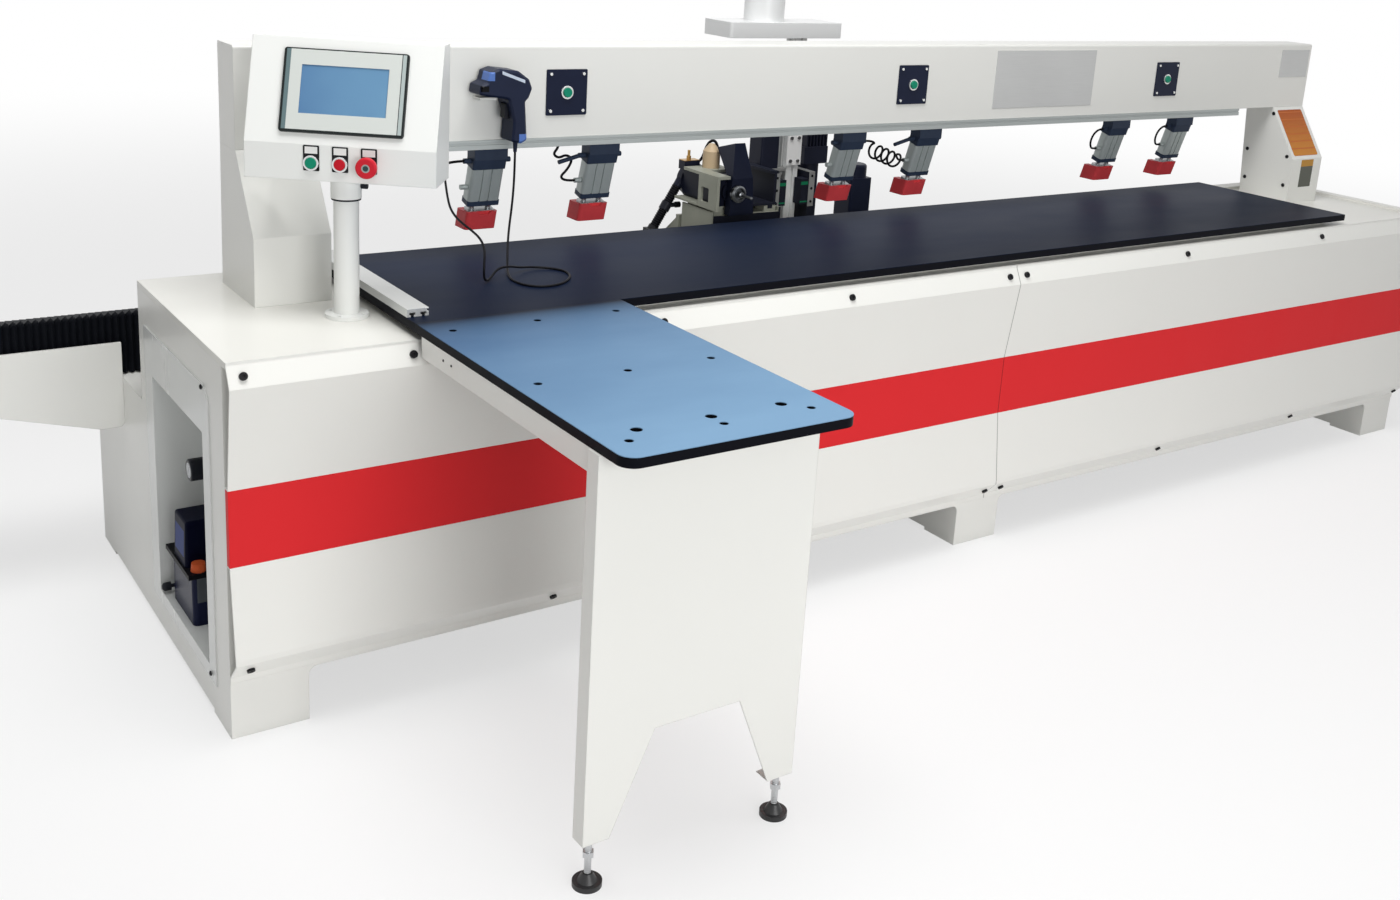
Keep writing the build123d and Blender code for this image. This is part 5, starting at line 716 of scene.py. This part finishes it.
def way_cover(name, left, right):
    """Pleated cover of three sides between two places along the rail."""
    front, back, foot, top, back_top = 785.5, 1004.5, 490.0, 632.0, 572.0
    folds = 2 * round((right - left) / PLEAT)
    mesh = bmesh.new()
    outline = [(front, foot), (front, top - 7), (front + 7, top - 2), (back - 7, back_top + 2),
               (back, back_top - 5), (back, foot)]
    corners = [mesh.verts.new((left, y, z)) for y, z in outline]
    rim = [mesh.edges.new(pair) for pair in zip(corners, corners[1:])]
    middle = (front + back) / 2
    narrow = 1 - 2 * PLEAT_DEEP / (back - front)
    lower = 1 - PLEAT_DEEP / (top - foot)
    for fold in range(folds):
        grown = bmesh.ops.extrude_edge_only(mesh, edges=rim)["geom"]
        rim = [item for item in grown if isinstance(item, bmesh.types.BMEdge)]
        moved = [item for item in grown if isinstance(item, bmesh.types.BMVert)]
        bmesh.ops.translate(mesh, verts=moved, vec=((right - left) / folds, 0, 0))
        pull = (1, narrow, lower) if fold % 2 == 0 else (1, 1 / narrow, 1 / lower)
        bmesh.ops.scale(mesh, verts=moved, vec=pull, space=Matrix.Translation((0, -middle, -foot)))
    made = new_piece(name, mesh, cover_cloth, None)
    cloth = made.modifiers.new("cloth", "SOLIDIFY")
    cloth.thickness = 0.0012
    cloth.offset = -1
    return made


for name, node, left, right, ends in (
        ("left_way_cover", "bellows_left", -424, 1400, ("machine", "carriage")),
        ("right_way_cover", "bellows_right", 2240, 3840, ("carriage", "machine"))):
    cover = way_cover(name, left, right)
    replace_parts(cover, node)
    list(ends)
    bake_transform(cover)

# Carriage and drilling head: a black saddle on the rails, a cream painted lift box whose
# front carries painted shade in place of its dark open inside, a cream cradle with dark
# covers, the drive's frame of aluminium plates, and the motors behind it.
CREAM = (0.36, 0.37, 0.31)
NAVY = (0.010, 0.012, 0.024)
DARK_NAVY = (0.012, 0.014, 0.024, 1)


def lift_patches(place):
    """Painted shade on the front of the lift box, in place of its dark open inside."""
    x, y, _ = place.bed()
    return [((y < 0.6925) * (x > 1.494), DARK_NAVY, 0.45, 0.0)]


def cradle_patches(place):
    """Dark right-hand wall, and the tan bowl of the air filter."""
    x, y, z = place.bed()
    bowl = x.between(1.526, 1.578) * y.between(0.772, 0.823) * (z > 0.8705)
    return [(x > 1.61, DARK_NAVY, 0.45, 0.0), (bowl, (0.55, 0.42, 0.27, 1), 0.3, 0.0)]


def frame_patches(place):
    """Drive's frame: dark body, bright plate edges and green strips on its bearing blocks."""
    x, y, z = place.bed()
    module = x > 1.735
    edge = module * (y < 0.7612) * (z > 0.748) + module * (z > 0.8472)
    rows = z.between(0.811, 0.82) + z.between(0.76, 0.764)
    strip = x.between(1.7665, 1.8695) * (y < 0.7645) * rows
    return [(module, DARK_NAVY, 0.45, 0.0), (edge, (0.42, 0.43, 0.42, 1), 0.35, 0.7),
            (strip, (0.01, 0.2, 0.09, 1), 0.35, 0.0)]


def motor_patches(place):
    """Aluminium cylinder beside the upright motor."""
    return [(place.bed()[0].between(1.785, 1.83), (0.40, 0.41, 0.41, 1), 0.3, 0.8)]


def drill_patches(place):
    """Brass air connector on the motor's rear top."""
    return [(place.bed()[2] > 0.8825, (0.45, 0.27, 0.09, 1), 0.28, 0.8)]


def post_patches(place):
    """Brighter joint plate with dark bolts on the front of the post."""
    _, y, z = place.bed()
    joint = z.between(0.862, 0.954)
    return [(joint * (y < 0.7985), (0.9, 0.9, 0.89, 1), 0.35, 0.0),
            (joint * (y < 0.7942), (0.1, 0.1, 0.1, 1), 0.4, 0.5)]


dress(screw_black, "x_saddle")
dress(patched("lift_paint", CREAM, 0.42, lift_patches), "z_slide")
dress(patched("cradle_paint", CREAM, 0.42, cradle_patches), "y_slide")
dress(patched("frame_finish", CREAM, 0.42, frame_patches), "head_column")
dress(patched("motor_navy", NAVY, 0.4, motor_patches), "lift_motor")
dress(patched("drill_navy", NAVY, 0.36, drill_patches), "drill_motor")
dress(patched("chute_navy", (0.008, 0.011, 0.026), 0.4), "dust_chute", "x_motor")
dress(drawn_metal("spindle_steel", (0.2, 0.21, 0.22), 0.3, (4, 0.05, 4)), "drill_spindle")
dress(patched("post_aluminium", (0.82, 0.83, 0.82), 0.45, post_patches), "hood_post")
dress(sheet_paint("hood_paint", (0.85, 0.86, 0.86), 0.36, edge=0.0015), "dust_hood")
frame_holes = [(x, 760, z) for x in (1756, 1880) for z in (762, 800, 836)]
screw_heads("frame_bolts", frame_holes, (0, -1, 0), 4, 2.5, "carriage")
AIR_RUN = [
    (1543, 855, 876), (1554, 855, 878), (1562, 852, 892), (1566, 848, 915), (1574, 842, 934),
    (1586, 834, 938), (1592, 826, 920), (1590, 820, 896), (1588, 818, 871),
]
lead("air_line", AIR_RUN, 0.004, "feed")

# Cable hose of the head: a ribbed black conduit from the drill motor to the saddle's post,
# in two lengths that meet on the lift. A moulded tee sits on the joint.
HOSE_FOOT, HOSE_MEET, HOSE_TOP = (1431.8, 883, 696.0), (1465.7, 883, 750.3), (1499.6, 883, 804.6)
GROOVE, RIB = 11.0, 13.0


def ribbed(name, low, high, ribs):
    """Ribbed conduit between two points in machine millimetres."""
    mesh = bmesh.new()
    run = Vector(high) - Vector(low)
    pitch = run.length / ribs
    outline = [(0, 0.0)]
    for rib in range(ribs):
        outline += [(GROOVE, rib * pitch), (RIB, (rib + 0.3) * pitch), (RIB, (rib + 0.7) * pitch)]
    outline += [(GROOVE, run.length), (0, run.length)]
    lathe(mesh, outline, 20)
    bmesh.ops.remove_doubles(mesh, verts=mesh.verts, dist=0.001)
    bmesh.ops.transform(mesh, verts=mesh.verts, matrix=Matrix.Translation(low) @ aimed(run))
    return new_piece(name, mesh, lead_black, None)


for name, low, high, ends in (("lower_conduit", HOSE_FOOT, HOSE_MEET, ("carriage", "lift")),
                              ("upper_conduit", HOSE_MEET, HOSE_TOP, ("lift", "feed"))):
    conduit = ribbed(name, low, high, 10)
    start, end = [Vector(point) / 1000 - Vector((BED_X, BED_Y, 0)) for point in (low, high)]
    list(ends)
    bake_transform(conduit)
    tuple(start)
    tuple(end)
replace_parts(conduit, "head_hose")
tee = bmesh.new()
sleeve = aimed(Vector(HOSE_TOP) - Vector(HOSE_FOOT))
branch = Matrix.Translation((0, 0, 2)) @ Matrix.Rotation(pi / 2, 4, "Y")
for turn, out, radius, length in ((sleeve, 0, 15, 24), (branch, 20, 6.5, 34),
                                  (branch, 39, 8.5, 14)):
    rod(tee, radius, length, 20,
        Matrix.Translation(HOSE_MEET) @ turn @ Matrix.Translation((0, 0, out)))
new_piece("conduit_tee", tee, black_plastic, "lift")


# Studio: a plain white floor that fades into a white surround, one wide soft lamp in front,
# a stronger one overhead, and the camera at the photograph's place.
def direct_rays(wire):
    """1 for rays from the camera, off a glossy face or through a clear one, else 0."""
    rays = wire.node("ShaderNodeLightPath", {}, {}).socket.node.outputs
    kinds = ("Is Camera Ray", "Is Glossy Ray", "Is Transmission Ray")
    camera, glossy, through = [Wire(wire.tree, rays[kind]) for kind in kinds]
    return camera + glossy + through


floor_mesh = bmesh.new()
bmesh.ops.create_grid(floor_mesh, x_segments=1, y_segments=1, size=30)
floor_data = bpy.data.meshes.new("floor")
floor_mesh.to_mesh(floor_data)
floor_mesh.free()
floor = put("floor", floor_data)
floor_finish, floor_shader, floor_place = new_finish("floor_finish")
settle(floor_shader, {"Base Color": (0.86, 0.86, 0.86, 1), "Roughness": 0.7})
reach = floor_place.node("ShaderNodeVectorMath", {"operation": "LENGTH"}, {0: floor_place}, 1)
fade = floor_place.node("ShaderNodeMapRange", {"interpolation_type": "SMOOTHSTEP"},
                        {"Value": reach, "From Min": 2.0, "From Max": 9.0, "To Min": 0.62,
                         "To Max": 1.0})
glow = floor_place.node("ShaderNodeEmission", {}, {"Color": (1, 1, 1, 1), "Strength": 1.0})
plain = Wire(floor_place.tree, floor_shader.outputs[0])
blended = floor_place.node("ShaderNodeMixShader", {},
                           {0: fade * direct_rays(floor_place), 1: plain, 2: glow})
blended.into(floor_place.tree.nodes["Material Output"], "Surface")
floor_data.materials.append(floor_finish)

world = bpy.data.worlds.new("studio")
bpy.context.scene.world = world
world.use_nodes = True
background = world.node_tree.nodes["Background"]
clear = direct_rays(Wire(world.node_tree, background.outputs[0]))
(0.26 + 0.74 * clear).into(background, "Strength")
settle(background, {"Color": (1, 1, 1, 1)})


def soft_lamp(name, place, aim, size, power):
    """Wide rectangular lamp that faces a point."""
    light = bpy.data.lights.new(name, "AREA")
    light.shape = "RECTANGLE"
    light.size, light.size_y = size
    light.energy = power
    made = put(name, light)
    made.location = place
    made.rotation_euler = (Vector(aim) - Vector(place)).to_track_quat("-Z", "Y").to_euler()


soft_lamp("front_lamp", (-1.2, -4.6, 1.5), (-0.9, 0.0, 0.5), (2.6, 1.6), 80)
soft_lamp("top_lamp", (-1.2, -0.7, 4.4), (-1.0, -0.3, 0.0), (3.0, 2.0), 138)

view = bpy.data.cameras.new("view")
view.sensor_width = 36.0
view.lens = 37.12
view.shift_x = -0.0172
view.shift_y = -0.1117
view.clip_end = 100
camera = put("view", view)
# The rows are the camera's right, up and back.
camera_axes = Matrix(((0.8190356, -0.5704613, 0.0612749),
                      (0.0981616, 0.2445511, 0.9646549),
                      (-0.5652831, -0.7840719, 0.2562934)))
camera_place = Matrix.Translation((-2.3984, -2.5531, 1.5529))
camera.matrix_world = camera_place @ camera_axes.transposed().to_4x4()
bpy.context.scene.camera = camera
bpy.context.scene.view_settings.view_transform = "Standard"
